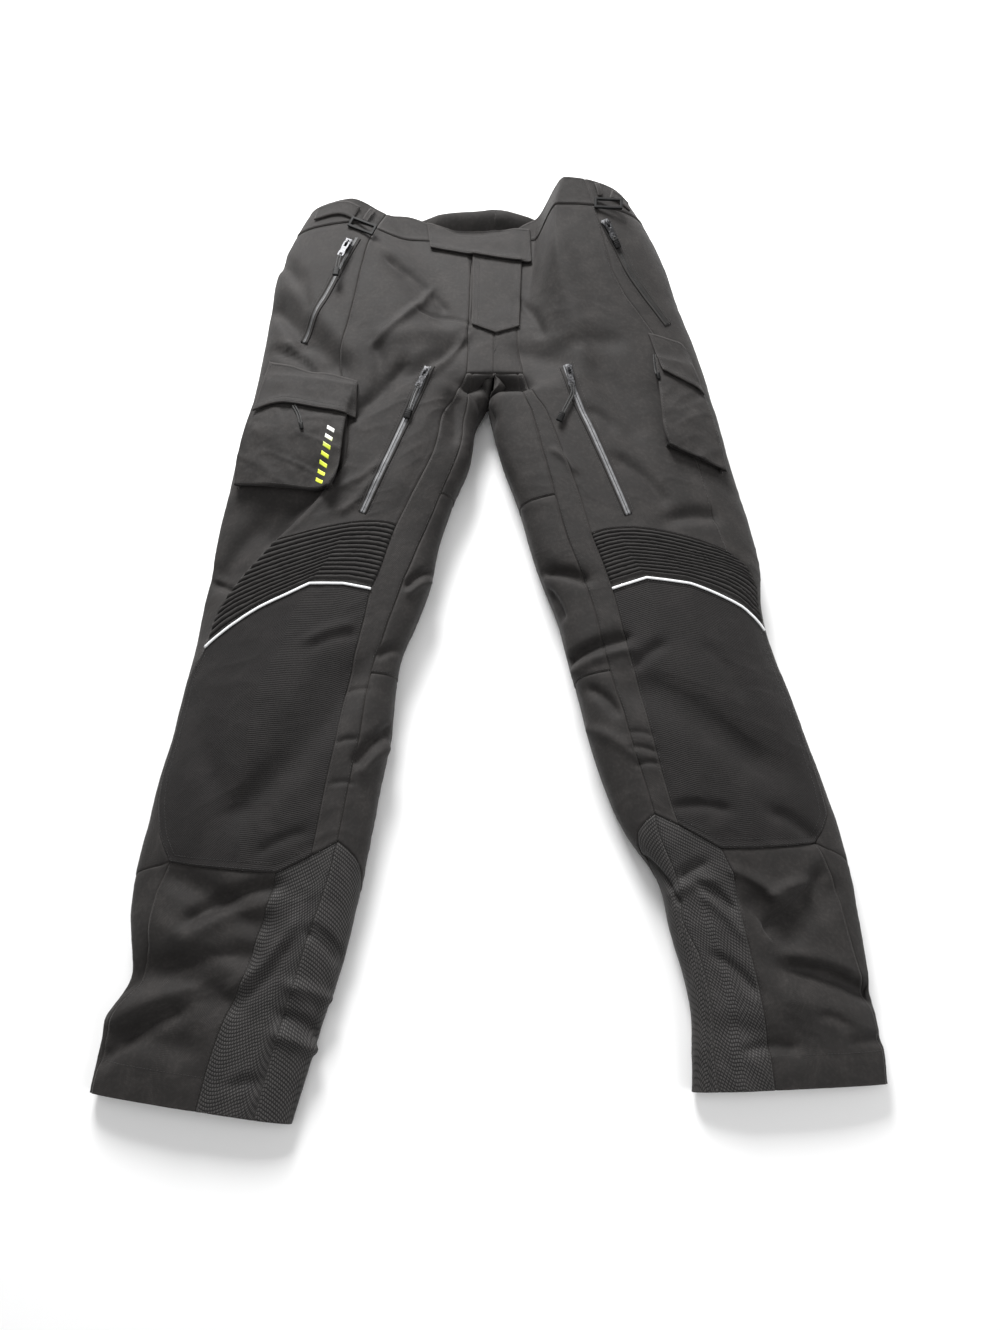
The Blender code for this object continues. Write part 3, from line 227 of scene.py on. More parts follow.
def through(values, at):
    p = np.asarray(values, float)
    end = len(p) - 1
    at = np.clip(at, 0, end)
    i = np.clip(np.floor(at).astype(int), 0, end - 1)
    f = at - i
    p0, p1, p2, p3 = p[np.clip(i - 1, 0, end)], p[i], p[i + 1], p[np.clip(i + 2, 0, end)]
    return 0.5 * (2 * p1 + (p2 - p0) * f + (2 * p0 - 5 * p1 + 4 * p2 - p3) * f ** 2
                  + (3 * p1 - p0 - 3 * p2 + p3) * f ** 3)


def unit(v):
    return v / np.maximum(np.linalg.norm(v, axis=-1, keepdims=True), 1e-9)


def lengths(path):
    # Running length at each point of a path
    return np.concatenate([[0], np.cumsum(np.linalg.norm(np.diff(np.array(path, float), axis=0), axis=1))])


def foldHeight(x, y, folds, bend=1.0):
    total = np.zeros_like(x)
    for x0, y0, x1, y1, width, height in folds:
        dx, dy = x1 - x0, y1 - y0
        length = math.hypot(dx, dy)
        along = ((x - x0) * dx + (y - y0) * dy) / length
        aside = ((x - x0) * dy - (y - y0) * dx) / length
        # Small folds bend a little on their way
        aside = aside + 0.05 * length * np.sin(along / length * math.pi) * bend
        past = np.maximum(0, np.maximum(-along, along - length))
        total += height * np.exp(-(aside / width) ** 2 - (past / (1.6 * width)) ** 2)
    return total


def cellNoise(x, y, z, seed):
    # Smooth noise between -1 and 1 on a grid of unit cells, the same on every run
    xi, yi, zi = np.floor(x), np.floor(y), np.floor(z)
    fx, fy, fz = smooth(x - xi), smooth(y - yi), smooth(z - zi)

    def corner(a, b, c):
        h = np.sin((xi + a) * 127.1 + (yi + b) * 311.7 + (zi + c) * 74.7 + seed * 53.3) * 43758.5453
        return (h - np.floor(h)) * 2 - 1

    low = (corner(0, 0, 0) * (1 - fx) + corner(1, 0, 0) * fx) * (1 - fy) \
        + (corner(0, 1, 0) * (1 - fx) + corner(1, 1, 0) * fx) * fy
    high = (corner(0, 0, 1) * (1 - fx) + corner(1, 0, 1) * fx) * (1 - fy) \
        + (corner(0, 1, 1) * (1 - fx) + corner(1, 1, 1) * fx) * fy
    return low * (1 - fz) + high * fz


def creases(p, scale, turn, seed):
    # Thin ridges that run mostly one way, as in stiff cloth
    c, s = math.cos(turn), math.sin(turn)
    x = (p[..., 0] * c + p[..., 1] * s) / scale
    y = (p[..., 1] * c - p[..., 0] * s) / (scale * 0.42)
    z = p[..., 2] / scale
    x = x + 0.7 * cellNoise(x * 0.6, y * 0.3, z, seed + 5)
    y = y + 0.9 * cellNoise(x * 0.5, y * 0.4, z, seed + 9)
    ridge = 1 - np.abs(cellNoise(x, y, z, seed))
    return ridge ** 4


class Half:
    # One half of the garment as a fine grid that all its panels are taken from
    def __init__(self, name, rows, rises, seams, lines, drops):
        self.name = name
        self.rows = rows
        self.rises = rises
        self.innerSeam, self.frontSeam, self.stripSeam, self.sideSeam = seams
        self.drops = drops
        self.turn = 1 if name == "r" else -1
        self.start = {}
        table = []
        anchors = (0, inner, front, strip, mid, outer, side, last)
        for line, following in zip(lines, lines[1:] + lines[-1:]):
            self.start[line[0]] = len(table)
            here = self.lineRows(line, anchors)
            there = self.lineRows(following, anchors)
            for step in range(max(line[1], 1)):
                table.append(here + (there - here) * step / max(line[1], 1))
        self.row = np.array(table)
        count = len(table)
        self.over = np.array([[self.across(j, i) for i in range(last + 1)] for j in range(count)])
        coarse = self.point(self.row, self.over)
        self.wide = np.linalg.norm(np.diff(coarse, axis=1), axis=2).max(axis=0)
        self.long = np.linalg.norm(np.diff(coarse, axis=0), axis=2).max(axis=1)

    def lineRows(self, line, anchors):
        # The seam over the ribs is one smooth curve, the others run straight between their corners
        rows = np.interp(range(last + 1), anchors, line[2:])
        if line[0] == "rib top":
            columns = np.arange(front, side + 1)
            bend = np.polyfit(anchors[2:7], line[4:9], 3)
            rows[front:side + 1] = np.polyval(bend, columns)
        return rows

    def refine(self, long):
        ribs = self.start["rib top"], self.start["piping"]
        self.lineAt, self.lineFine = self.divide(long, len(self.row), *ribs)
        self.columnAt, self.columnFine = self.divide(self.wide, last + 1)

    def divide(self, sizes, count, ribsFrom=-1, ribsTo=-1):
        # Fractions of a line or column for the fine grid, and where each coarse one falls in it
        at, where = [0.0], [0]
        for k in range(count - 1):
            steps = max(1, math.ceil(sizes[k] / cloth["cell"]))
            if ribsFrom <= k < ribsTo:
                steps = cloth["ribs"] * 8 // (ribsTo - ribsFrom)
            at.extend(k + (s + 1) / steps for s in range(steps))
            where.append(len(at) - 1)
        return np.array(at), where

    def atSeam(self, seam, row):
        return np.interp(row, [s[0] for s in seam], [s[1] for s in seam])

    def across(self, line, column):
        row = self.row[line, column]
        belowKnee = line > self.start["knee end"]
        first = self.atSeam(self.innerSeam, row)
        second = self.atSeam(self.frontSeam, row)
        outside = self.atSeam(self.sideSeam, row)
        under = -0.2 * smooth((row - legRow) / 1.5)
        if column <= inner:
            return under + (first - under) * innerShares[column]
        if column <= side and not belowKnee:
            return second + (outside - second) * (column - front) / (side - front)
        third = self.atSeam(self.stripSeam, row)
        if column <= strip:
            return first + (third - first) * (column - inner) / (strip - inner)
        if column <= side:
            return third + (outside - third) * (column - strip) / (side - strip)
        if column < side + len(sideShares):
            return outside + (1 - outside) * sideShares[column - side]
        if column < last - 1:
            return underAcross[column - side - len(sideShares)]
        share = 0.6 if column < last else 1
        return underAcross[-1] + (2 + under - underAcross[-1]) * share

    def point(self, row, over):
        innerX, innerY, outerX, outerY, edgeZ, crownZ = [
            through([r[k] for r in self.rows], row) for k in range(6)]
        up = np.sin(np.pi * over)
        share = (1 - np.cos(np.pi * over)) / 2
        x = innerX + (outerX - innerX) * share
        y = innerY + (outerY - innerY) * share
        legZ = edgeZ + (crownZ - edgeZ) * np.clip(up, 0, 1) ** 0.7
        bodyRow = np.clip(row, 0, crotchRow)
        flyZ, footX, topX = [through([r[k] for r in self.rises], bodyRow) for k in range(3)]
        frontZ = flyZ + (crownZ - flyZ) * smooth((x - footX) / (topX - footX))
        fall = np.clip(1 - np.clip(2 * share - 1, 0, 1) ** 2, 0, 1) ** 0.4
        hipZ = np.where(share < 0.5, frontZ, edgeZ + (frontZ - edgeZ) * fall)
        body = 1 - smooth((row - crotchRow) / (legRow - crotchRow))
        topZ = legZ + (hipZ - legZ) * body
        under = -up + (np.sqrt(np.clip(1 - share ** 2, 0, 1)) + up) * body
        underZ = edgeZ * (1 - np.clip(under / 0.45, 0, 1)) ** 2
        drop = np.interp(row, [d[0] for d in self.drops], [d[1] for d in self.drops])
        seam = self.atSeam(self.sideSeam, row)
        out = np.clip((over - seam) / (1 - seam), 0, 1)
        drop = drop * smooth(out / sideShares[1]) * (1 - out ** 2)
        topZ = topZ + foldHeight(x, y, bigFolds, 0) * smooth(up / 0.3) - drop
        return np.stack([x, y, np.where(up >= 0, topZ, underZ)], axis=-1)

    def normals(self, p):
        down = np.gradient(p, axis=0)
        out = np.gradient(p, axis=1)
        split = self.lineFine[self.start["leg start"]]
        wrap = p[split:, 1] - p[split:, -2]
        out[split:, 0] = wrap
        out[split:, -1] = wrap
        n = unit(np.cross(out, down) * self.turn)
        n[:split, 0, 0] = 0
        n[:split, -1] = (0, 0, -1)
        return unit(n)

    def shape(self):
        # The smooth form, then creases on every side of it
        j = np.clip(np.floor(self.lineAt).astype(int), 0, len(self.row) - 2)
        i = np.clip(np.floor(self.columnAt).astype(int), 0, last - 1)
        fj = (self.lineAt - j)[:, None]
        fi = (self.columnAt - i)[None, :]

        def between(t):
            a = t[np.ix_(j, i)] * (1 - fi) + t[np.ix_(j, i + 1)] * fi
            b = t[np.ix_(j + 1, i)] * (1 - fi) + t[np.ix_(j + 1, i + 1)] * fi
            return a * (1 - fj) + b * fj

        p = self.point(between(self.row), between(self.over))
        n = self.normals(p)
        onTop = smooth((n[..., 2] + 0.15) / 0.5)
        onFloor = smooth((-n[..., 2] - 0.4) / 0.4)
        x, y = p[..., 0], p[..., 1]
        calf = smooth((-y - 200) / 90)
        hips = smooth((y - 380) / 80)
        lift = cloth["folds"] * foldHeight(x, y, smallFolds) * onTop
        z = p[..., 2]
        billow = cellNoise(x / 62, y / 48, z / 50, 3) + 0.5 * cellNoise(x / 27, y / 23, z / 30, 8)
        lift += cloth["billow"] * billow * (0.55 + 0.6 * calf)
        where = smooth(cellNoise(x / 90, y / 70, z / 60, 21) * 0.8 + 0.35 + 0.35 * calf)
        lift += cloth["crumple"] * (creases(p, 34, 0.35 * self.turn, 31) - 0.25) * where * (1 - 0.5 * hips)
        lift += 0.28 * cloth["crumple"] * creases(p, 15, -0.5 * self.turn, 47)
        # The back stays down on the floor but for its own creases
        lift = lift * (1 - onFloor)
        back = foldHeight(x, y, backFolds)
        back += cloth["underLift"] * creases(p, 60, 0.25 * self.turn, 77)
        p = p + n * (lift - np.clip(back, 0, 6) * onFloor)[..., None]
        self.openWaist(p)
        p[..., 2] = np.maximum(p[..., 2], floorGap)
        self.points = p
        self.dirs = self.normals(p)

    def openWaist(self, p):
        # The front dips at the fly, and the back's stiff band stands up behind it
        x, y = p[..., 0], p[..., 1]
        middle = np.exp(-((x + 28) / 70) ** 4)
        onFront = (self.columnAt < side)[None, :]
        dip = cloth["frontDip"] * middle * smooth((y - 488) / 45) * onFront
        rise = cloth["backRise"] * middle * smooth((y - 503) / 34) * ~onFront
        p[..., 1] -= dip
        p[..., 2] += rise - 0.12 * dip

    def block(self, top, bottom, first, end):
        lines = slice(self.lineFine[self.start[top]], self.lineFine[self.start[bottom]] + 1)
        columns = slice(self.columnFine[first], self.columnFine[end] + 1)
        return self.points[lines, columns].copy(), self.dirs[lines, columns].copy()


def toWorld(p):
    return (p - np.array([centreX, centreY, 0])) * mm


def arcs(p, axis):
    # Running length along a grid, and what is left to its far edge
    step = np.linalg.norm(np.diff(p, axis=axis), axis=-1)
    run = np.cumsum(step, axis=axis)
    pad = [(0, 0), (0, 0)]
    pad[axis] = (1, 0)
    run = np.pad(run, pad)
    total = run[:, -1:] if axis == 1 else run[-1:, :]
    return run, total - run


def gridMesh(name, p, ridge=None):
    # A flat grid from the operator, moved onto the shape, with the cloth's own map in metres
    rows, columns = p.shape[:2]
    bm = bmesh.new()
    bmesh.ops.create_grid(bm, x_segments=columns - 1, y_segments=rows - 1, size=0.5)
    mesh = meshFrom(bm, name)
    flat = np.empty(len(mesh.vertices) * 3)
    mesh.vertices.foreach_get("co", flat)
    flat = flat.reshape(-1, 3)
    i = np.rint((flat[:, 0] + 0.5) * (columns - 1)).astype(int)
    j = np.rint((flat[:, 1] + 0.5) * (rows - 1)).astype(int)
    mesh.vertices.foreach_set("co", toWorld(p[j, i]).ravel())
    u = arcs(p, 1)[0]
    u = u - u[:, columns // 2][:, None]
    v = arcs(p, 0)[0]
    loops = np.empty(len(mesh.loops), int)
    mesh.loops.foreach_get("vertex_index", loops)
    layer = mesh.uv_layers.new(name="clothMap")
    uv = np.stack([u[j, i], v[j, i]], axis=1)[loops] * mm
    layer.data.foreach_set("uv", uv.ravel())
    near = np.minimum(np.minimum(*arcs(p, 0)), np.minimum(*arcs(p, 1)))
    edge = mesh.attributes.new("edge", "FLOAT", "POINT")
    edge.data.foreach_set("value", near[j, i].astype(np.float32) * mm)
    # The ribs' ridge share, which the knit material uses to paint shade into its grooves
    if ridge is not None:
        tops = mesh.attributes.new("ridge", "FLOAT", "POINT")
        tops.data.foreach_set("value", ridge[j, i].astype(np.float32))
    return mesh


def faceOut(mesh, p, n):
    # Turn the faces so that they point the same way as the grid's own directions
    mesh.update()
    j, i = p.shape[0] // 2, p.shape[1] // 2
    middle = Vector(toWorld((p[j, i] + p[j + 1, i + 1] + p[j, i + 1] + p[j + 1, i]) / 4))
    best = min(mesh.polygons, key=lambda f: (f.center - middle).length)
    if best.normal.dot(Vector(n[j, i])) < 0:
        mesh.flip_normals()


pieces = {}
coverPoints = []
coverFaces = []


def meshFrom(bm, name, flat=False):
    mesh = bpy.data.meshes.new(name)
    bm.to_mesh(mesh)
    bm.free()
    if not flat:
        mesh.shade_smooth()
    return mesh


def addCover(item):
    # What lies on this piece is laid on its shape
    base = len(coverPoints)
    coverPoints.extend(v.co[:] for v in item.data.vertices)
    coverFaces.extend([base + k for k in f.vertices] for f in item.data.polygons)


def place(item, body="trousers", replaced=(), material=None):
    bpy.context.scene.collection.objects.link(item)
    if material:
        item.data.materials.clear()
        item.data.materials.append(material)
    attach(item, body)
    if replaced:
        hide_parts(*replaced)
    pieces[item.name] = item
    return item


def solidify(item, thickness, offset=-1):
    wall = item.modifiers.new("wall", "SOLIDIFY")
    wall.thickness = thickness * mm
    wall.offset = offset
    wall.use_rim = True
    wall.use_quality_normals = True
    return wall


def clothPiece(name, p, n, thickness, material, replaced, cut=None, ridge=None):
    mesh = gridMesh(name, p, ridge)
    faceOut(mesh, p, n)
    item = bpy.data.objects.new(name, mesh)
    solidify(item, thickness)
    place(item, replaced=replaced, material=material)
    a = np.linalg.norm(np.cross(p[1:, :-1] - p[:-1, :-1], p[:-1, 1:] - p[:-1, :-1]), axis=-1).sum()
    b = np.linalg.norm(np.cross(p[1:, :-1] - p[1:, 1:], p[:-1, 1:] - p[1:, 1:]), axis=-1).sum()
    area = (a + b) / 2 * mm * mm * 0.97
    width = arcs(p, 1)[0][:, -1].max() * mm * 1.02
    length = arcs(p, 0)[0][-1].max() * mm * 1.02
    width, length = cut or (round(width, 3), round(length, 3))
    area = min(area, width * length)
    area = max(area, 0.31 * width * length)
    addCover(item)
    return item


class Num:
    # A number in a material: arithmetic on it adds the nodes
    def __init__(self, kit, socket):
        self.kit = kit
        self.socket = socket

    def math(self, operation, *others):
        return self.kit.node("ShaderNodeMath", {"operation": operation}, [self, *others])

    def __add__(self, other): return self.math("ADD", other)
    def __radd__(self, other): return self.math("ADD", other)
    def __sub__(self, other): return self.math("SUBTRACT", other)
    def __rsub__(self, other): return self.math("MULTIPLY", -1).math("ADD", other)
    def __mul__(self, other): return self.math("MULTIPLY", other)
    def __rmul__(self, other): return self.math("MULTIPLY", other)
    def __truediv__(self, other): return self.math("DIVIDE", other)
    def __pow__(self, other): return self.math("POWER", other)
    def sine(self): return self.math("SINE")
    def size(self): return self.math("ABSOLUTE")
    def most(self, other): return self.math("MAXIMUM", other)
    def rounded(self): return self.math("FLOOR")

    def ramp(self, low, high, first=0.0, second=1.0):
        # Smoothly from first to second while the number goes from low to high
        return self.kit.node("ShaderNodeMapRange", {"interpolation_type": "SMOOTHSTEP"},
                             [self, low, high, first, second])


class Kit:
    # One material and a short way to add nodes to it
    def __init__(self, name):
        self.material = bpy.data.materials.new(name)
        self.material.use_nodes = True
        self.tree = self.material.node_tree
        self.shader = self.tree.nodes["Principled BSDF"]

    def join(self, value, socket):
        if isinstance(value, Num):
            self.tree.links.new(value.socket, socket)
        else:
            socket.default_value = value

    def node(self, kind, settings, values, output=0):
        made = self.tree.nodes.new(kind)
        for key, value in settings.items():
            setattr(made, key, value)
        if isinstance(values, dict):
            for key, value in values.items():
                self.join(value, made.inputs[key])
        else:
            for value, socket in zip(values, made.inputs):
                self.join(value, socket)
        return Num(self, made.outputs[output])

    def coordinates(self, source):
        if source == "map":
            where = self.node("ShaderNodeUVMap", {"uv_map": "clothMap"}, [])
        else:
            where = self.node("ShaderNodeTexCoord", {}, [], "Object")
        split = self.tree.nodes.new("ShaderNodeSeparateXYZ")
        self.join(where, split.inputs[0])
        self.where = where
        return [Num(self, split.outputs[k]) for k in range(2)]

    def noise(self, scale, detail=2.0, roughness=0.5):
        return self.node("ShaderNodeTexNoise", {}, {"Vector": self.where, "Scale": scale, "Detail": detail,
                                                   "Roughness": roughness}, "Fac")

    def attribute(self, name):
        return self.node("ShaderNodeAttribute", {"attribute_name": name}, [], "Fac")

    def worn(self, reach, most):
        # Rubbed along the edges of a piece
        return self.attribute("edge").ramp(0.0, reach, most, 0.0)

    def blend(self, share, first, second):
        made = self.tree.nodes.new("ShaderNodeMix")
        made.data_type = "RGBA"
        self.join(share, made.inputs["Factor"])
        for value, socket in ((first, made.inputs[6]), (second, made.inputs[7])):
            self.join(value if isinstance(value, Num) else (*value, 1), socket)
        return Num(self, made.outputs[2])

    def finish(self, colour, roughness, height=None, bump=0.5, reach=0.0004, metallic=0.0, sheen=0.0,
               coat=0.0, specular=0.5):
        s = self.shader.inputs
        self.join(colour if isinstance(colour, Num) else (*colour, 1), s["Base Color"])
        self.join(roughness, s["Roughness"])
        s["Metallic"].default_value = metallic
        s["Sheen Weight"].default_value = sheen
        s["Sheen Roughness"].default_value = 0.45
        s["Sheen Tint"].default_value = (0.95, 0.93, 0.92, 1)
        s["Coat Weight"].default_value = coat
        s["Specular IOR Level"].default_value = specular
        if height is not None:
            made = self.tree.nodes.new("ShaderNodeBump")
            made.inputs["Strength"].default_value = bump
            made.inputs["Distance"].default_value = reach
            self.join(height, made.inputs["Height"])
            self.tree.links.new(made.outputs[0], s["Normal"])
        return self.material


fabric = {
    "shell": (0.0150, 0.0134, 0.0127), "shellWorn": (0.036, 0.0325, 0.0308),
    "dense": (0.0120, 0.0108, 0.0106), "denseWorn": (0.0290, 0.0262, 0.0256),
    "knit": (0.0200, 0.0186, 0.0180), "knitWorn": (0.046, 0.0430, 0.0415),
    # Painted shade for the hollows between the knee ribs
    "knitGrooveShade": (0.0035, 0.0033, 0.0032),
    "dotted": (0.0075, 0.0069, 0.0067), "dottedWorn": (0.058, 0.0545, 0.0530),
    "yarn": 0.00085,        # spacing of the shell's threads, m
    "crossLine": 0.0021,    # spacing of the knee cloth's heavier threads
    "dotRow": 0.0038,
}


def wovenShell(name="shellCloth", base="shell", yarn=1.0, sheen=0.05):
    kit = Kit(name)
    u, v = kit.coordinates("map")
    step = math.pi / (fabric["yarn"] * yarn)
    warp = (u * step).sine()
    weft = (v * step).sine()
    plain = warp * weft
    mottle = kit.noise(38.0, 3.0)
    fleck = kit.noise(1500.0, 1.0)
    slub = kit.noise(260.0, 2.0)
    worn = kit.worn(0.0022, 0.55)
    share = mottle.ramp(0.35, 0.7, 0.0, 0.36) + fleck * 0.42
    share = share + slub.ramp(0.4, 0.75, 0.0, 0.25) + worn - 0.12
    colour = kit.blend(share.ramp(0.0, 1.0), fabric[base], fabric[base + "Worn"])
    rough = mottle * 0.16 + 0.66
    height = plain * 0.5 + slub * 0.7 + fleck * 0.35
    return kit.finish(colour, rough, height, 0.55, 0.00035, sheen=sheen, specular=0.30)


def denseCloth():
    # Heavier plain weave with thin cross lines and a fine grain
    kit = Kit("kneeCloth")
    u, v = kit.coordinates("map")
    cross = (v * (2 * math.pi / fabric["crossLine"])).sine()
    fine = (u * (math.pi / 0.0007)).sine() * (v * (math.pi / 0.0007)).sine()
    mottle = kit.noise(30.0, 3.0)
    fleck = kit.noise(1800.0, 1.0)
    broken = kit.noise(420.0, 1.0)
    worn = kit.worn(0.0025, 0.5)
    share = cross.ramp(0.1, 1.0, 0.0, 0.32) * broken.ramp(0.35, 0.6) + fleck * 0.4
    share = share + mottle.ramp(0.4, 0.7, 0.0, 0.25) + worn - 0.1
    colour = kit.blend(share.ramp(0.0, 1.0), fabric["dense"], fabric["denseWorn"])
    height = cross * 0.8 + fine * 0.35 + fleck * 0.4
    return kit.finish(colour, mottle * 0.12 + 0.74, height, 0.6, 0.0004, sheen=0.04, specular=0.26)


def ribKnit():
    kit = Kit("ribCloth")
    u = kit.coordinates("map")[0]
    wale = (u * (2 * math.pi / 0.0011)).sine()
    mottle = kit.noise(60.0, 3.0)
    fleck = kit.noise(1600.0, 1.0)
    share = wale.ramp(-0.6, 1.0, 0.0, 0.45) + fleck * 0.35 + mottle.ramp(0.4, 0.7, 0.0, 0.25) - 0.1
    colour = kit.blend(share.ramp(0.0, 1.0), fabric["knit"], fabric["knitWorn"])
    # Painted shade: the knit turns dark in the grooves between the ribs, following the ribs' ridge share
    colour = kit.blend(kit.attribute("ridge").ramp(0.15, 0.85), fabric["knitGrooveShade"], colour)
    height = wale * 0.7 + fleck * 0.4
    return kit.finish(colour, mottle * 0.1 + 0.78, height, 0.5, 0.0003, sheen=0.04, specular=0.26)


def dottedCloth():
    # Rows of small raised dashes, every second row shifted by half a dash
    kit = Kit("dottedCloth")
    u, v = kit.coordinates("map")
    row = (v / fabric["dotRow"]).rounded()
    shift = row * 0.5
    inRow = v / fabric["dotRow"] - row
    inDash = (u / 0.0026 + shift)
    inDash = inDash - inDash.rounded()
    tall = (inRow - 0.5).size().ramp(0.20, 0.40, 1.0, 0.0)
    wide = (inDash - 0.5).size().ramp(0.26, 0.44, 1.0, 0.0)
    dash = tall * wide
    mottle = kit.noise(36.0, 3.0)
    fleck = kit.noise(1600.0, 1.0)
    worn = kit.worn(0.0022, 0.35)
    share = dash * 0.72 + fleck * 0.22 + mottle.ramp(0.4, 0.7, 0.0, 0.2) + worn - 0.05
    colour = kit.blend(share.ramp(0.0, 1.0), fabric["dotted"], fabric["dottedWorn"])
    return kit.finish(colour, 0.72 - dash * 0.12, dash + fleck * 0.2, 0.7, 0.0007, sheen=0.04, specular=0.35)


def tapeCoat(name="tapeCoat", shows=0.0030, tones=((0.10, 0.10, 0.105), (0.22, 0.222, 0.228))):
    # Coated zip tape: smooth film with a painted highlight streak on each half, its two halves meeting in the
    # middle, cloth edges beside it
    kit = Kit(name)
    u, v = kit.coordinates("map")
    middle = u.size()
    gap = middle.ramp(0.00018, 0.0006, 0.0, 1.0)
    border = middle.ramp(shows * 0.88, shows * 1.12, 0.0, 1.0)
    scuff = kit.noise(220.0, 3.0)
    # Painted highlight: a lighter streak along each half of the tape, where the coated film would catch the
    # light
    ridge = (middle - shows * 0.42).size().ramp(0.0002, shows * 0.35, 0.5, 0.0)
    tone = kit.blend(scuff.ramp(0.35, 0.75, 0.0, 0.5) + ridge, *tones)
    tone = kit.blend(gap, (0.012, 0.012, 0.012), tone)
    tone = kit.blend(border, tone, (0.022, 0.0205, 0.0195))
    teeth = (v * (2 * math.pi / 0.0014)).sine() * middle.ramp(0.0, 0.0024, 1.0, 0.0)
    height = gap * 0.7 + teeth * 0.16 - border * 0.6
    rough = border.ramp(0.0, 1.0, 0.42, 0.8) + scuff.ramp(0.3, 0.8, 0.0, 0.14)
    return kit.finish(tone, rough, height, 0.7, 0.0007, specular=0.35)


def reflector():
    kit = Kit("reflectiveEdge")
    kit.coordinates("object")
    bead = kit.node("ShaderNodeTexVoronoi", {}, {"Vector": kit.where, "Scale": 2600.0}, "Distance")
    dust = kit.noise(90.0, 3.0)
    colour = kit.blend(dust.ramp(0.35, 0.75), (0.80, 0.81, 0.82), (0.93, 0.935, 0.94))
    return kit.finish(colour, dust * 0.15 + 0.34, bead, 0.25, 0.0002, coat=0.2)


def gunmetal():
    kit = Kit("gunmetal")
    kit.coordinates("object")
    wear = kit.noise(420.0, 4.0, 0.6)
    colour = kit.blend(wear.ramp(0.48, 0.72), (0.040, 0.040, 0.042), (0.13, 0.13, 0.135))
    return kit.finish(colour, wear.ramp(0.3, 0.8, 0.34, 0.55), wear, 0.15, 0.0002, metallic=0.85)


def blackPlastic():
    kit = Kit("blackPlastic")
    kit.coordinates("object")
    grain = kit.noise(2400.0, 2.0)
    haze = kit.noise(120.0, 3.0)
    colour = kit.blend(haze.ramp(0.35, 0.8), (0.006, 0.006, 0.006), (0.016, 0.016, 0.0165))
    return kit.finish(colour, haze.ramp(0.3, 0.8, 0.46, 0.62), grain, 0.25, 0.00015, specular=0.12)


def cordBraid():
    kit = Kit("cordBraid")
    u, v = kit.coordinates("object")
    strand = ((u + v) * (2 * math.pi / 0.0012)).sine() * ((u - v) * (2 * math.pi / 0.0012)).sine()
    fleck = kit.noise(2600.0, 1.0)
    colour = kit.blend(strand.ramp(-0.4, 0.8), (0.010, 0.010, 0.010), (0.045, 0.044, 0.043))
    return kit.finish(colour, 0.62, strand * 0.7 + fleck * 0.3, 0.5, 0.0004, sheen=0.1)


def thread(name, tone):
    kit = Kit(name)
    kit.coordinates("object")
    fibre = kit.noise(3200.0, 2.0)
    colour = kit.blend(fibre, tuple(c * 0.6 for c in tone), tuple(c * 1.5 for c in tone))
    return kit.finish(colour, 0.55, fibre, 0.4, 0.0001, sheen=0.1)


def barPrint():
    # Rubbery print that goes from white to yellow down the pocket
    kit = Kit("barPrint")
    v = kit.coordinates("object")[1]
    lowEnd, highEnd = (156 - centreY) * mm, (221 - centreY) * mm
    share = v.ramp(lowEnd, highEnd, 0.0, 1.0)
    grain = kit.noise(900.0, 2.0)
    colour = kit.blend(share.ramp(0.35, 0.75), (0.62, 0.72, 0.045), (0.86, 0.87, 0.84))
    return kit.finish(colour, grain * 0.15 + 0.42, grain, 0.2, 0.0002)


finishes = {
    "shell": wovenShell(),
    "band": wovenShell("bandCloth", "shell", 0.8, 0.06),
    "flap": wovenShell("flapCloth", "shell", 0.9, 0.05),
    "dense": denseCloth(),
    "knit": ribKnit(),
    "dotted": dottedCloth(),
    "tape": tapeCoat(),
    "slimTape": tapeCoat("slimTape", 0.0016, ((0.060, 0.060, 0.062), (0.20, 0.202, 0.206))),
    "darkTape": tapeCoat("darkTape", 0.0012, ((0.010, 0.010, 0.010), (0.028, 0.027, 0.026))),
    "reflector": reflector(),
    "gunmetal": gunmetal(),
    "plastic": blackPlastic(),
    "cord": cordBraid(),
    "thread": thread("blackThread", (0.018, 0.017, 0.016)),
    "bars": barPrint(),
}
print("materials made:", len(finishes))


# Cloth panels
seamWork = {
    "groove": 0.75,         # how far the cloth sinks right at a seam, mm
    "grooveWidth": 2.6,
    "stitch": 2.7,          # length of a stitch and of the space after it
    "space": 0.8,
    "first": 1.0,           # how far from its start a row begins
    "lift": 0.15,           # height of a thread's middle over the cloth
    "threadWidth": 0.5,
    "reach": 7.0,           # how far in from a seam the cloth is lifted or lowered
}
stitches = []


def workEdges(p, n, raised):
    # Sink the seams, and lift or lower each edge that lies over or under its neighbour
    down = arcs(p, 0)
    over = arcs(p, 1)
    lift = np.zeros(p.shape[:2])
    for distance, amount in zip((down[0], down[1], over[0], over[1]), raised):
        if amount is None:
            continue
        lift += amount * (1 - smooth(distance / seamWork["reach"]))
        lift -= seamWork["groove"] * (1 - smooth(distance / seamWork["grooveWidth"]))
    out = p + n * lift[..., None]
    out[..., 2] = np.maximum(out[..., 2], floorGap)
    return out


def along(line, run, at):
    # A point of each row at a running length
    return np.array([np.interp(at, run, line[:, k]) for k in range(line.shape[1])])


def edgeLine(p, n, edge, distance):
    # Points and directions at a fixed distance in from one edge of a grid
    if edge in ("first", "last"):
        p, n = p.transpose(1, 0, 2), n.transpose(1, 0, 2)
    if edge in ("bottom", "last"):
        p, n = p[::-1], n[::-1]
    run = arcs(p, 0)[0]
    columns = range(p.shape[1])
    line = np.array([along(p[:, k], run[:, k], distance) for k in columns])
    return line, unit(np.array([along(n[:, k], run[:, k], distance) for k in columns]))


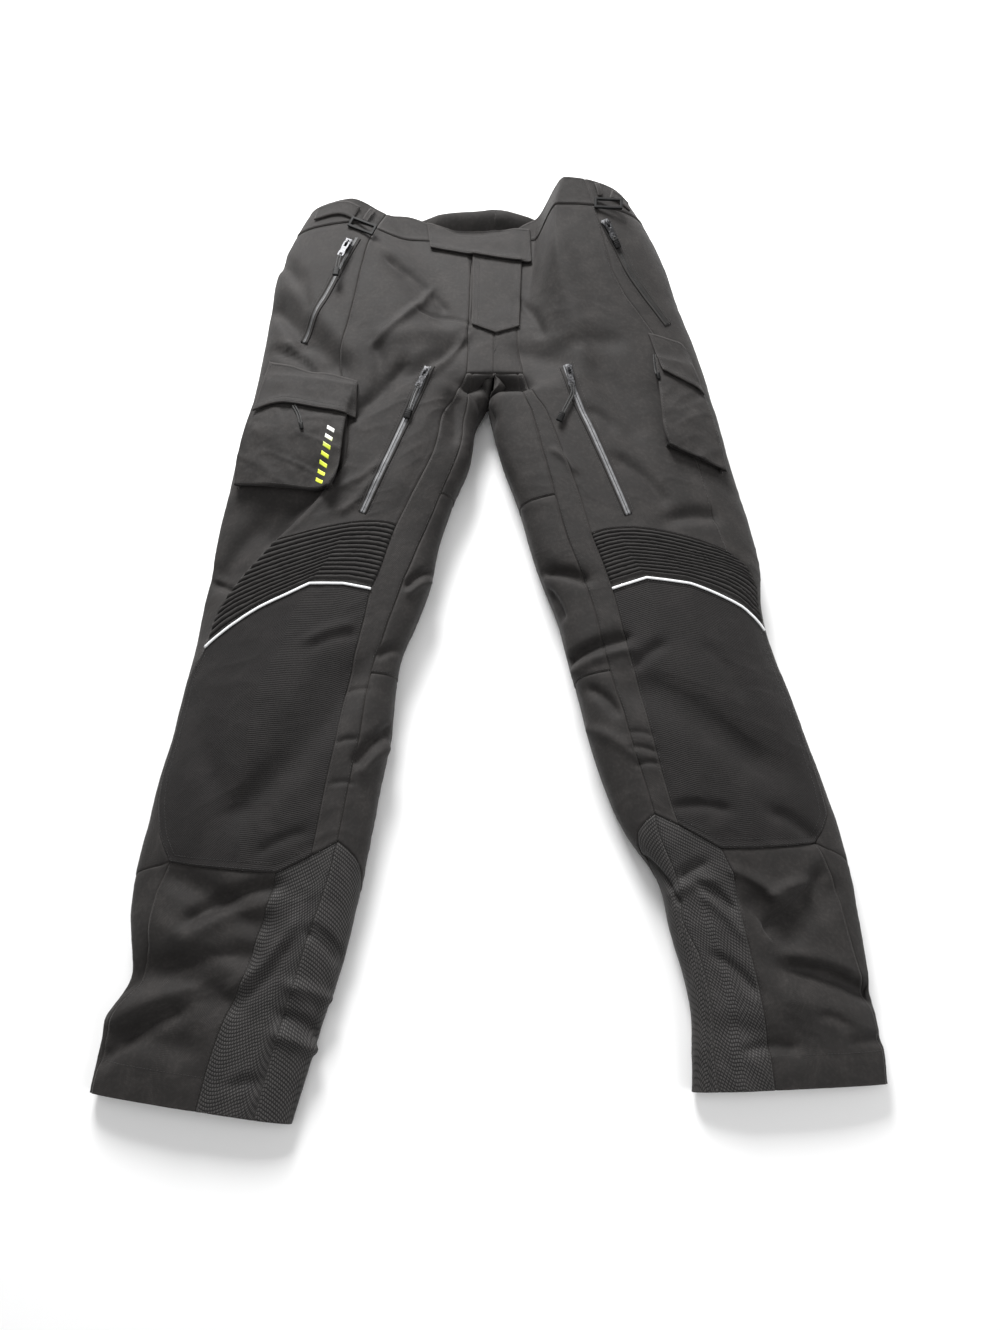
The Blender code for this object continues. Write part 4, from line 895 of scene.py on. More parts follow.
def sew(line, ways, start=0.0, end=None):
    # Lay stitches end to end along a line
    run = lengths(line)
    end = run[-1] if end is None else min(end, run[-1])
    at = start + seamWork["first"]
    stitch = seamWork["stitch"]
    while at + stitch < end:
        a, b = along(line, run, at), along(line, run, at + stitch)
        up = unit(along(ways, run, at))
        stitches.append(((a + b) / 2 + up * seamWork["lift"], b - a, up))
        at += stitch + seamWork["space"]


def sewEdges(p, n, rows):
    for edge, distance, inset in rows:
        line, ways = edgeLine(p, n, edge, distance)
        sew(line, ways, inset, lengths(line)[-1] - inset)


def makeThreads():
    # All stitches as one mesh of small drawn-out beads
    bm = bmesh.new()
    bmesh.ops.create_icosphere(bm, subdivisions=1, radius=0.5)
    bm.verts.ensure_lookup_table()
    base = np.array([v.co for v in bm.verts])
    faces = np.array([[v.index for v in f.verts] for f in bm.faces])
    bm.free()
    size = seamWork["threadWidth"]
    points, polygons = [], []
    for middle, along, up in stitches:
        length = np.linalg.norm(along)
        x = along / length
        y = unit(np.cross(up, x))
        z = np.cross(x, y)
        local = base * (length * 1.12, size, size * 0.8)
        points.append(middle + local[:, :1] * x + local[:, 1:2] * y + local[:, 2:] * z)
        polygons.append(faces + len(base) * (len(points) - 1))
    mesh = bpy.data.meshes.new("seams_thread")
    mesh.from_pydata(toWorld(np.concatenate(points)), [], np.concatenate(polygons).tolist())
    mesh.shade_smooth()
    place(bpy.data.objects.new("seams_thread", mesh), material=finishes["thread"])
    print("stitches laid:", len(stitches))


def raiseRibs(p, n):
    steps = 8
    rows = p.shape[0]
    k = np.arange(rows)[:, None]
    t = (k % steps) / steps
    profile = np.abs(np.sin(np.pi * t)) ** 0.75
    toPiping = arcs(p, 0)[1]
    fade = smooth((toPiping - 6.0) / 3.0)
    run = arcs(p, 1)[0]
    rib = np.floor(k / steps) * 1.7 + 0 * run
    uneven = 1 + 0.30 * cellNoise(run / 4.2, rib, 0 * run, 61)
    uneven = uneven + 0.14 * cellNoise(run / 1.9, rib, 0 * run, 67)
    sideFade = smooth(np.minimum(*arcs(p, 1)) / 2.5)
    lift = cloth["ribHeight"] * profile * fade * uneven * (0.25 + 0.75 * sideFade)
    # The plain band above the piping counts as a ridge, so that the painted groove shade stays off it
    ridge = np.maximum(profile * uneven, 0.8 * (1 - fade)) * np.ones_like(run)
    return p + n * lift[..., None], ridge


# Name, lines, columns, finish, slot, thickness, how its four edges lie: top, bottom, first, last
legPanels = [
    ("front_thigh", "waist seam", "rib top", front, side, "shell", "shell", 1.4, (-0.2, 0.5, 0.3, 0.5)),
    ("rib_panel", "rib top", "piping", front, side, "knit", "dense", 1.3, (-0.3, 0.0, -0.3, -0.2)),
    ("knee_panel", "piping", "knee end", front, side, "dense", "dense", 1.6, (0.0, 1.5, 0.2, 0.6)),
    ("inner_strip", "crotch", "knee end", inner, front, "shell", "shell", 1.4, (0.0, 0.9, 0.2, 0.4)),
    ("gusset", "crotch", "gusset", 0, inner, "shell", "shell", 1.3, (0.0, 0.4, None, 0.0)),
    ("inner_thigh", "gusset", "knee level", 0, inner, "shell", "shell", 1.3, (-0.3, 0.4, None, 0.0)),
    ("inner_knee", "knee level", "knee end", 0, inner, "shell", "shell", 1.3, (-0.3, 0.4, None, 0.0)),
    ("calf_inner", "knee end", "hem", 0, inner, "dotted", "textured", 1.3, (-0.3, None, None, 0.2)),
    ("calf_strip", "knee end", "hem", inner, strip, "dotted", "textured", 1.3, (-0.3, None, 0.0, 0.4)),
    ("calf_front", "knee end", "hem", strip, side, "shell", "shell", 1.3, (-0.5, None, -0.2, 0.5)),
    ("back_thigh", "waist seam", "knee end", side, last, "shell", "shell", 1.4, (-0.2, 0.2, -0.3, None)),
    ("back_calf", "knee end", "hem", side, last, "shell", "shell", 1.3, (-0.2, None, -0.3, None)),
]
# Rows of stitches: edge, distance in from it, and how far from the corners they stop, mm
panelSewing = {
    "inner_strip": [("first", 2.2, 0), ("last", 2.2, 0)],
    "knee_panel": [("bottom", 2.4, 2), ("bottom", 9.5, 9), ("last", 2.4, 2), ("last", 9.5, 9),
                   ("first", 2.2, 2)],
    "calf_strip": [("first", 2.2, 0), ("last", 2.4, 0), ("bottom", 33, 0)],
    "calf_inner": [("bottom", 33, 0)],
    "calf_front": [("bottom", 33, 0), ("last", 2.2, 0), ("first", 2.0, 0)],
    "back_calf": [("bottom", 33, 0)],
    "front_thigh": [("last", 2.2, 0), ("bottom", 2.4, 0), ("top", 2.2, 0)],
    "gusset": [("bottom", 2.2, 0)],
    "inner_thigh": [("bottom", 2.2, 0)],
    "back_thigh": [("top", 2.2, 0)],
}


def thinned(p, n, name):
    # The hidden back has half the lines, but all columns beside its seams
    columns = p.shape[1]
    kept = [i for i in range(columns) if i % 2 == 0 or i < 4 or i >= columns - 4]
    p, n = p[:, kept], n[:, kept]
    if name == "back_calf":
        return p, n
    lines = sorted(set(range(0, p.shape[0], 2)) | {p.shape[0] - 2, p.shape[0] - 1})
    return p[lines], n[lines]


def makeHalf(half):
    for name, top, bottom, a, b, finish, slot, thick, raised in legPanels:
        p, n = half.block(top, bottom, a, b)
        p = workEdges(p, n, raised)
        ridge = None
        if name == "rib_panel":
            p, ridge = raiseRibs(p, n)
        sewEdges(p, n, panelSewing.get(name, []))
        if "back" in name:
            p, n = thinned(p, n, name)
        node = f"{name}_{half.name}"
        clothPiece(f"cloth_{node}", p, n, thick, finishes[finish], [node], ridge=ridge)


def bothHalves(top, bottom, a, b):
    # The same block of both halves, joined along the middle of the front or of the back
    if a == 0:
        sides = [[g[:, ::-1] for g in right.block(top, bottom, a, b)],
                 [g[:, 1:] for g in left.block(top, bottom, a, b)]]
    else:
        sides = [right.block(top, bottom, a, b), [g[:, -2::-1] for g in left.block(top, bottom, a, b)]]
    return [np.concatenate(both, axis=1) for both in zip(*sides)]


right = Half("r", rowsRight, risesRight, (innerSeamRight, frontSeamRight, stripSeamRight, sideSeamRight),
             linesRight, sideDropsRight)
left = Half("l", rowsLeft, risesLeft, (innerSeamLeft, frontSeamLeft, stripSeamLeft, sideSeamLeft),
            linesLeft, [(0, 0), (23, 0)])
# Both halves share their lines, so that they meet along the middle
for half in (right, left):
    half.refine(np.maximum(right.long, left.long))
    half.shape()
    makeHalf(half)
    print("panels laid for side", half.name, half.points.shape)

p, n = bothHalves("waist top", "crotch", 0, front)
p = workEdges(p, n, (None, 0.3, -0.4, -0.4))
# Seam down the middle from under the fly flap
middleRows = smooth((352 - p[..., 1]) / 6)
p[..., 2] -= 0.9 * middleRows * np.exp(-((p[..., 0] + 7) / 1.3) ** 2)
clothPiece("cloth_fly_base", p, n, 1.4, finishes["shell"], ["fly_base"])
for half in (right, left):
    p, n = half.block("waist top", "waist seam", front, side)
    p = workEdges(p, n, (None, 0.7, 0.0, 0.0))
    sewEdges(p, n, [("bottom", 2.4, 0), ("top", 2.4, 0)])
    clothPiece(f"cloth_waistband_front_{half.name}", p, n, 2.4, finishes["band"],
               [f"waistband_front_{half.name}"])
p, n = bothHalves("waist top", "waist seam", side, last)
p = workEdges(p, n, (None, 0.5, 0.0, 0.0))
sewEdges(p, n, [("bottom", 2.4, 0), ("top", 2.4, 0)])
clothPiece("cloth_waistband_back", p, n, 2.4, finishes["band"], ["waistband_back"])
print("waist done")

# What lies on the panels, as edges in plan
tabTop = [(-93, 524), (-50, 520), (0, 519), (38, 514)]
tabLow = [(-87, 483), (-33, 470), (28, 458), (39, 459)]
flyTop = [(-34, 474), (-3, 466), (27, 461)]
flyLow = [(-34, 360), (-5, 347), (23, 357)]
zips = {
    "vent_r": {"tape": [(-82, 294), (-99, 248), (-127, 176), (-154, 108)], "wide": (12, 7),
               "pull": [(-86, 283), (-98, 255), (-107, 223)]},
    "hip_r": {"tape": [(-174, 472), (-188, 440), (-207, 392), (-233, 331)], "wide": (9, 8),
              "pull": [(-184, 459), (-192, 436), (-195, 407)], "finish": "slimTape"},
    "vent_l": {"tape": [(76, 296), (87, 255), (106, 205), (125, 155), (143, 105)], "wide": (12, 7),
               "pull": [(80, 285), (84, 254), (67, 219)]},
    "hip_l": {"tape": [(124, 478), (143, 437), (159, 405), (199, 350)], "wide": (9, 8),
              "pull": [(127, 470), (141, 440)], "finish": "darkTape"},
}
pockets = {
    "r": {"inner": [(-166, 264), (-174, 230), (-180, 158), (-189, 133)],
          "outer": [(-278, 288), (-290, 236), (-301, 180), (-303, 148)], "mouth": 3, "height": 13,
          "flapTop": [(-272, 306), (-246, 296), (-222, 287), (-193, 281), (-164, 270)],
          "flapLow": [(-285, 236), (-262, 242), (-238, 240), (-214, 234), (-190, 228), (-165, 224)],
          "puller": [(-236, 238), (-229, 224), (-224, 206)], "sag": -1},
    "l": {"inner": [(181, 302), (183, 250), (185, 207), (191, 187)],
          "outer": [(226, 296), (240, 252), (252, 200), (257, 160)], "mouth": 3, "height": 12,
          "flapTop": [(174, 334), (196, 330), (214, 327), (224, 312)],
          "flapLow": [(188, 283), (206, 275), (228, 266), (237, 257)],
          "puller": [(180, 306), (181, 288), (183, 272)], "sag": 1},
}
adjusters = {
    "r": {"top": [(-226, 525), (-196, 528), (-172, 520)], "low": [(-230, 507), (-200, 509), (-180, 500)],
          "buckle": (-168, 489), "angle": -24, "loop": [(-158, 527), (-166, 501)]},
    "l": {"top": [(136, 526), (148, 523), (157, 517)], "low": [(132, 512), (146, 509), (158, 503)],
          "buckle": (130, 499), "angle": -3, "loop": [(117, 530), (121, 512)]},
}
trim = {
    "cell": 1.8,            # size of the squares of the laid pieces, mm
    "flap": 2.4,
    "tape": 1.1,
    "lip": 0.9,             # rolled cloth edge beside a zip tape
    "bellows": 22,          # what both sides of a pocket add to the cut of its front
    "sliderLong": 11.5, "sliderWide": 9.0, "sliderHigh": 2.6,
    "tabBehind": 0.9, "tabLong": 24.0, "tabWide": 8.0, "tabThick": 1.4,
    "pullHalf": 1.1,        # from the top of a packed pull down to its hinge's level
    "gripLong": 12.0, "gripWide": 6.6, "gripHigh": 3.4,
    "cord": 1.0,            # radius of a puller's cord
    "buckleLong": 34.0, "buckleWide": 15.0, "buckleBar": 3.5, "buckleHigh": 3.0,
    "bars": 7,              # plain slanted bars on the pocket, in place of the print
}
# Rim of a bellows pocket: how far in from its outline each ring lies, and its share of the height
bagRing = [(3.2, 0.0), (4.6, 0.45), (0.6, 0.74), (0.0, 0.88), (0.8, 0.98), (2.4, 1.0)]


def spread(path, count, curved=True):
    # Points at even distances along a path in plan
    at = np.linspace(0, len(path) - 1, 30 * len(path) - 29)
    if curved:
        fine = np.stack([through([q[k] for q in path], at) for k in (0, 1)], axis=1)
    else:
        fine = np.stack([np.interp(at, range(len(path)), [q[k] for q in path]) for k in (0, 1)], axis=1)
    run = lengths(fine)
    where = np.linspace(0, run[-1], count)
    return np.stack([np.interp(where, run, fine[:, k]) for k in (0, 1)], axis=1)


def ruled(a, b, shares):
    a, b, s = a[:, None], b[:, None], np.asarray(shares)[None, :, None]
    return a * (1 - s) + b * s


def planBetween(first, second, curved=(True, True)):
    # Rows run along the two edges, columns from the first to the second
    rows = math.ceil(max(lengths(first)[-1], lengths(second)[-1]) / trim["cell"]) + 1
    a, b = spread(first, rows, curved[0]), spread(second, rows, curved[1])
    columns = math.ceil(np.linalg.norm(a - b, axis=1).max() / trim["cell"]) + 1
    return ruled(a, b, np.linspace(0, 1, columns))


def ribbon(path, wide, step, across):
    middle = spread(path, math.ceil(lengths(path)[-1] / step) + 1)
    way = unit(np.gradient(middle, axis=0))
    aside = np.stack([-way[:, 1], way[:, 0]], axis=1) * np.linspace(*wide, len(middle))[:, None] / 2
    return ruled(middle + aside, middle - aside, np.linspace(0, 1, across))


class Ground:
    # All that is laid so far
    def __init__(self):
        self.tree = BVHTree.FromPolygons(coverPoints, coverFaces)

    def height(self, x, y):
        start = Vector(((x - centreX) * mm, (y - centreY) * mm, skyHeight))
        hit = self.tree.ray_cast(start, Vector((0, 0, -1)))[0]
        return hit.z / mm if hit else 0.0

    def heights(self, plan):
        return np.array([[self.height(*q) for q in line] for line in plan])

    def drape(self, plan, lift, stiff):
        # Lie on the ground, and bridge its hollows the more the stiffer the cloth is
        floor = self.heights(plan) + lift
        z = floor.copy()
        for _ in range(stiff):
            pad = np.pad(z, 1, mode="edge")
            mean = (pad[:-2, 1:-1] + pad[2:, 1:-1] + pad[1:-1, :-2] + pad[1:-1, 2:]) / 4
            z = np.maximum(floor, mean)
        return np.concatenate([plan, z[..., None]], axis=2)


def upward(p):
    n = unit(np.cross(np.gradient(p, axis=0), np.gradient(p, axis=1)))
    return n * np.where(n[..., 2:].mean() < 0, -1, 1)


def edgeRuns(p):
    down, over = arcs(p, 0), arcs(p, 1)
    return down[0], down[1], over[0], over[1]


def layCloth(name, plan, thickness, finish, node, stiff=10, lifts=(0, 0, 0, 0), reach=10.0,
             sewing=(), wave=0.35, extra=None, seed=2):
    p = Ground().drape(plan, 0.35, stiff)
    p[..., 2] += thickness + (0 if extra is None else extra)
    for run, amount in zip(edgeRuns(p), lifts):
        p[..., 2] += amount * (1 - smooth(run / reach))
    runs = edgeRuns(p)
    near = np.minimum.reduce(runs)
    p[..., 2] -= 0.5 * (1 - smooth(near / 1.6))
    x, y = p[..., 0], p[..., 1]
    broad = cellNoise(x / 19, y / 15, 0 * x, seed)
    p[..., 2] += wave * broad + 0.35 * wave * cellNoise(x / 7, y / 8, 0 * x, seed + 4)
    names = ("top", "bottom", "first", "last")
    for edge, distance, _ in sewing:
        run = runs[names.index(edge)]
        p[..., 2] -= 0.28 * np.exp(-((run - distance) / 1.1) ** 2)
    n = upward(p)
    sewEdges(p, n, sewing)
    return clothPiece(name, p, n, thickness, finishes[finish], [node])


def layTrim(name, p, finish, nodesReplaced, thickness):
    # A narrow trim: tape, loop or printed bar
    mesh = gridMesh(name, p)
    faceOut(mesh, p, upward(p))
    item = bpy.data.objects.new(name, mesh)
    solidify(item, thickness)
    return place(item, replaced=nodesReplaced, material=finishes[finish])


def makePiping(half):
    # A round reflective edge in the seam between the ribs and the knee panel
    p, n = half.block("piping", "knee end", front, side)
    seam, ways = p[0], n[0]
    along = unit(np.gradient(seam, axis=0))
    aside = np.cross(ways, along)
    turns = np.linspace(0, 2 * np.pi, 9)
    radius = 1.35
    rings = np.stack([seam + aside * math.cos(t) * radius * 1.1 + ways * (math.sin(t) * radius + 0.95)
                      for t in turns], axis=1)
    name = f"cloth_piping_{half.name}"
    mesh = gridMesh(name, rings)
    bm = bmesh.new()
    bm.from_mesh(mesh)
    bmesh.ops.remove_doubles(bm, verts=bm.verts, dist=0.00001)
    bmesh.ops.holes_fill(bm, edges=[e for e in bm.edges if e.is_boundary])
    bmesh.ops.recalc_face_normals(bm, faces=bm.faces)
    bm.to_mesh(mesh)
    bm.free()
    item = bpy.data.objects.new(name, mesh)
    place(item, replaced=[f"piping_{half.name}"], material=finishes["reflector"])
    sew(seam - aside * 3.4 + ways * 0.5, ways)


def makeTape(name):
    # Coated tape in a narrow window of rolled cloth edges, with the closed teeth down its middle
    sort, sideName = name.split("_")
    row = zips[name]
    plan = ribbon(row["tape"], (row["wide"][0] + 2, row["wide"][1] + 2), 2.0, 23)
    p = Ground().drape(plan, 0.3, 4)
    runs = edgeRuns(p)
    near = np.minimum.reduce(runs)
    half = p.shape[1] // 2
    across = np.abs(arcs(p, 1)[0] - arcs(p, 1)[0][:, half][:, None])
    lip = smooth(near / 0.8) * (1 - smooth((near - 1.6) / 0.7))
    # The teeth stand up along the middle, with a fine line where the two halves meet
    teeth = 0.45 * (1 - smooth(across / 1.8))
    p[..., 2] += 0.3 + trim["lip"] * lip + teeth - 0.35 * (1 - smooth(across / 0.45))
    node = f"{sort}_tape_{sideName}"
    addCover(layTrim(f"cloth_{node}", p, row.get("finish", "tape"), [node], 0.8))
    for way in (-1, 1):
        width = (row["wide"][0] / 2 + 3.4, row["wide"][1] / 2 + 3.4)
        line = ribbon(row["tape"], (2 * width[0], 2 * width[1]), 2.5, 2)[:, 0 if way < 0 else 1]
        z = Ground().heights(line[:, None])[:, 0]
        line = np.concatenate([line, z[:, None]], axis=1)
        sew(line, np.tile((0, 0, 1.0), (len(line), 1)))


def hardware(name, bm, finish, body="trousers", replaced=(), flat=False):
    bmesh.ops.recalc_face_normals(bm, faces=bm.faces)
    item = bpy.data.objects.new(name, meshFrom(bm, name, flat))
    return place(item, body, replaced, finishes[finish])


def addBlock(bm, size, at, offset, taper=1.0):
    # A rounded box, narrower towards its far end
    made = bmesh.ops.create_cube(bm, size=1, matrix=Matrix.Translation(at) @ Matrix.Diagonal((*size, 1)))
    for v in made["verts"]:
        if v.co.x > at[0]:
            v.co.y = at[1] + (v.co.y - at[1]) * taper
    edges = {e for v in made["verts"] for e in v.link_edges}
    bmesh.ops.bevel(bm, geom=list(edges), offset=offset, segments=3, profile=0.5, affect="EDGES", material=-1)


def onPlan(bm, x, y, z, way):
    # From a piece's own millimetres, pointing along +X, to its place
    turn = Matrix.Rotation(math.atan2(way[1], way[0]), 4, "Z")
    at = Matrix.Translation(((x - centreX) * mm, (y - centreY) * mm, z * mm))
    bmesh.ops.transform(bm, matrix=at @ turn @ Matrix.Scale(mm, 4), verts=bm.verts)


def makeSlider(name):
    sort, sideName = name.split("_")
    node = f"{sort}_slider_{sideName}"
    at, toward = [np.array(q, float) for q in zips[name]["pull"][:2]]
    way = unit(toward - at)
    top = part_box(node)[1].z / mm
    long, wide, tall = trim["sliderLong"], trim["sliderWide"], trim["sliderHigh"]
    bm = bmesh.new()
    # Two plates with a waist between them, and the bridge over the top
    addBlock(bm, (long, wide, 1.1), (-1, 0, -0.55), 0.45, 0.74)
    addBlock(bm, (long * 0.62, wide * 0.56, tall), (-1, 0, -tall / 2 - 0.3), 0.5, 0.9)
    addBlock(bm, (long, wide, 1.0), (-1, 0, -tall - 0.2), 0.4, 0.74)
    foot = Matrix.Translation((-3.6, 0, -0.3)) @ Matrix.Diagonal((1, 1.5, 1, 1))
    ring = bmesh.ops.create_circle(bm, cap_ends=False, segments=10, radius=0.75, matrix=foot)
    edges = list({e for v in ring["verts"] for e in v.link_edges})
    bmesh.ops.spin(bm, geom=ring["verts"] + edges, cent=(-0.6, 0, -0.3), axis=(0, 1, 0), angle=math.pi,
                   steps=12)
    onPlan(bm, at[0], at[1], top, way)
    hardware(f"{node}_body", bm, "gunmetal", "trousers", [node])


def tube(name, points, radius, finish, body, replaced=(), closed=False):
    line = bpy.data.curves.new(name, "CURVE")
    line.dimensions = "3D"
    line.bevel_depth = radius * mm
    line.bevel_resolution = 2
    line.resolution_u = 6
    line.use_fill_caps = True
    spline = line.splines.new("NURBS")
    spline.points.add(len(points) - 1)
    for point, at in zip(spline.points, toWorld(np.array(points, float))):
        point.co = (*at, 1)
    spline.order_u = 3
    spline.use_endpoint_u = not closed
    spline.use_cyclic_u = closed
    holder = bpy.data.objects.new(name, line)
    mesh = bpy.data.meshes.new_from_object(holder)
    bpy.data.objects.remove(holder)
    mesh.name = name
    mesh.shade_smooth()
    item = bpy.data.objects.new(name, mesh)
    return place(item, body, replaced, finishes[finish])


def makePull(name):
    # Metal tab with a hole at each end, a loop of cord through the outer one, and the cord's grip
    sort, sideName = name.split("_")
    body = f"{sort}_pull_{sideName}"
    path = zips[name]["pull"]
    mesh = nodes[body].data
    tree = BVHTree.FromPolygons([v.co[:] for v in mesh.vertices], [list(f.vertices) for f in mesh.polygons])
    middle = spread(path, 30, False)
    if len(path) > 2:
        middle = np.concatenate([spread(path[:2], 20, False), spread(path[1:], 20, False)[1:]])
    heights = []
    for x, y in middle:
        above = Vector(((x - centreX) * mm, (y - centreY) * mm, skyHeight))
        hit = tree.ray_cast(above, Vector((0, 0, -1)))[0]
        heights.append(hit.z / mm - trim["pullHalf"] if hit else np.nan)
    heights = np.array(heights)
    good = ~np.isnan(heights)
    run = lengths(middle)
    slope, start = np.polyfit(run[good], heights[good], 1)
    length = run[-1]

    def at(s, w=0.0, up=0.0):
        i = min(max(np.searchsorted(run, s) - 1, 0), len(run) - 2)
        way = unit(middle[i + 1] - middle[i])
        spot = middle[i] + way * (s - run[i])
        return np.array([spot[0] - way[1] * w, spot[1] + way[0] * w, start + slope * s + up])

    long, wide = trim["tabLong"], trim["tabWide"]
    bm = bmesh.new()
    bmesh.ops.create_grid(bm, x_segments=9, y_segments=5, size=1)
    # The hinge window is long and narrow, the cord window short and wide
    stops = np.array([0, 0.10, 0.20, 0.34, 0.50, 0.64, 0.74, 0.80, 0.92, 1]) * long
    rows = np.array([-1, -0.62, -0.36, 0.36, 0.62, 1.0]) * wide / 2
    holes = [f for f in bm.faces if abs(f.calc_center_median().y) < 0.1
             and (-0.8 < f.calc_center_median().x < -0.4 or 0.55 < f.calc_center_median().x < 0.8)]
    for v in bm.verts:
        i, j = round((v.co.x + 1) / 2 * 9), round((v.co.y + 1) / 2 * 5)
        narrow = 0.80 if i in (0, 9) else (0.86 if 4 <= i <= 5 else 1.0)
        v.co = Vector(toWorld(at(stops[i] - trim["tabBehind"], rows[j] * narrow, 0.1)))
    bmesh.ops.delete(bm, geom=holes, context="FACES")
    tab = hardware(f"{body}_tab", bm, "gunmetal", body, [body], True)
    solidify(tab, trim["tabThick"], 0)
    soft = tab.modifiers.new("soft", "BEVEL")
    soft.width = 0.35 * mm
    soft.segments = 2
    end = long * 0.86 - trim["tabBehind"]
    gripStart = max(length - trim["gripLong"], end + 2)
    spacing = 1.5
    count = 5
    runs = [gripStart + (end - gripStart) * (k + 0.5) / count for k in range(count)]
    strand = [at(gripStart + 3, -spacing * 0.6), *[at(s, -spacing, 0.15) for s in runs]]
    # The bight through the tab's window
    strand += [at(end + 0.6, -0.9, 0.7), at(end - 0.3, 0.0, 0.9), at(end + 0.6, 0.9, 0.7)]
    strand += [*[at(s, spacing, 0.15) for s in reversed(runs)], at(gripStart + 3, spacing * 0.6)]
    tube(f"{body}_cord", strand, trim["cord"], "cord", body)
    a, b = at(gripStart), at(length)
    way = b - a
    long = np.linalg.norm(way)
    bm = bmesh.new()
    addBlock(bm, (long, trim["gripWide"], trim["gripHigh"]), (0, 0, 0), 1.1, 1.12)
    # Shallow rings near its mouth, as moulded grips have
    ring = (1.0, trim["gripWide"] + 0.5, trim["gripHigh"] + 0.4)
    for k in range(3):
        addBlock(bm, ring, (-long / 2 + 2.2 + 2.2 * k, 0, 0), 0.3)
    pitch = Matrix.Rotation(-math.asin(way[2] / long), 4, "Y")
    bmesh.ops.transform(bm, matrix=pitch, verts=bm.verts)
    centre = (a + b) / 2
    onPlan(bm, centre[0], centre[1], centre[2], way[:2])
    hardware(f"{body}_grip", bm, "plastic", body)


def makeBag(sideName):
    row = pockets[sideName]
    wide = math.dist(row["inner"][1], row["outer"][1])
    long = math.dist(row["inner"][0], row["inner"][-1])

    def shares(size):
        ring = [r[0] / size for r in bagRing]
        steps = math.ceil(size * (1 - 2 * ring[-1]) / (trim["cell"] * 1.25))
        inside = np.linspace(ring[-1], 1 - ring[-1], steps + 1)[1:-1]
        rise = [r[1] for r in bagRing]
        return (np.array([*ring, *inside, *[1 - r for r in reversed(ring)]]),
                np.array([*rise, *np.ones(len(inside)), *reversed(rise)]))

    over, overRise = shares(wide)
    down, downRise = shares(long)
    a, b = spread(row["inner"], 200), spread(row["outer"], 200)
    at = down * 199
    a = np.stack([np.interp(at, range(200), a[:, k]) for k in (0, 1)], axis=1)
    b = np.stack([np.interp(at, range(200), b[:, k]) for k in (0, 1)], axis=1)
    plan = ruled(a, b, over)
    p = Ground().drape(plan, 0.4, 24)
    ring = np.minimum(downRise[:, None], overRise[None, :])
    height = row["mouth"] + (row["height"] - row["mouth"]) * smooth(down / 0.6)[:, None]
    height = height * (1 - 0.25 * over[None, :])
    x, y = p[..., 0], p[..., 1]
    puff = 1.1 * cellNoise(x / 24, y / 20, 0 * x, 12) + 0.5 * cellNoise(x / 9, y / 11, 0 * x, 15)
    sag = 1.3 * creases(p, 30, 0.5 * row["sag"], 51) + 0.5 * creases(p, 14, -0.7 * row["sag"], 53)
    p[..., 2] += height * ring + (puff + sag) * smooth((ring - 0.6) / 0.4) * smooth(height / 6)
    n = upward(p)
    # Stitches along the front's edge
    for lineAt in (len(bagRing) - 1, -len(bagRing)):
        sew(p[lineAt, 5:-5], n[lineAt, 5:-5])
        sew(p[5:-5, lineAt], n[5:-5, lineAt])
    # The cut of the whole pocket, with its bellows sides
    cut = tuple(round((size + trim["bellows"]) * mm, 3) for size in (wide, long))
    node = f"cargo_bag_{sideName}"
    clothPiece(f"cloth_{node}", p, n, 1.2, finishes["shell"], [node],
               cut=cut)


def makeFlap(sideName):
    row = pockets[sideName]
    plan = planBetween(row["flapTop"], row["flapLow"])
    layCloth(f"cloth_cargo_flap_{sideName}", plan, trim["flap"], "flap", f"cargo_flap_{sideName}",
             30, (0.3, 0.3, 0, 2.2), 14.0,
             [("last", 3.0, 3), ("last", 8.5, 8), ("top", 3.0, 3), ("bottom", 3.0, 3), ("first", 2.6, 3)],
             0.7, seed=31)


def makeCargoPuller(sideName):
    # Loop of cord that hangs from the pocket's own zip, with its moulded end
    points = spread(pockets[sideName]["puller"], 12)
    way = unit(np.gradient(points, axis=0))
    aside = np.stack([-way[:, 1], way[:, 0]], axis=1)
    ground = Ground()
    z = np.array([ground.height(*q) for q in points]) + 1.5
    z = np.maximum(z, np.convolve(np.pad(z, 2, mode="edge"), np.ones(5) / 5, mode="valid"))
    strands = []
    for sign in (-1, 1):
        line = np.concatenate([points + aside * 1.3 * sign, z[:, None]], axis=1)
        strands.append(line[:-2] if sign < 0 else line[:-2][::-1])
    base = f"cargo_puller_{sideName}"
    tube(f"{base}_cord", np.concatenate(strands), 0.95, "cord", "trousers", [base])
    bm = bmesh.new()
    addBlock(bm, (8.5, 4.6, 3.0), (0, 0, 0), 1.0, 0.8)
    onPlan(bm, points[-2][0], points[-2][1], z[-2] + 0.4, way[-2])
    hardware(f"{base}_end", bm, "plastic")


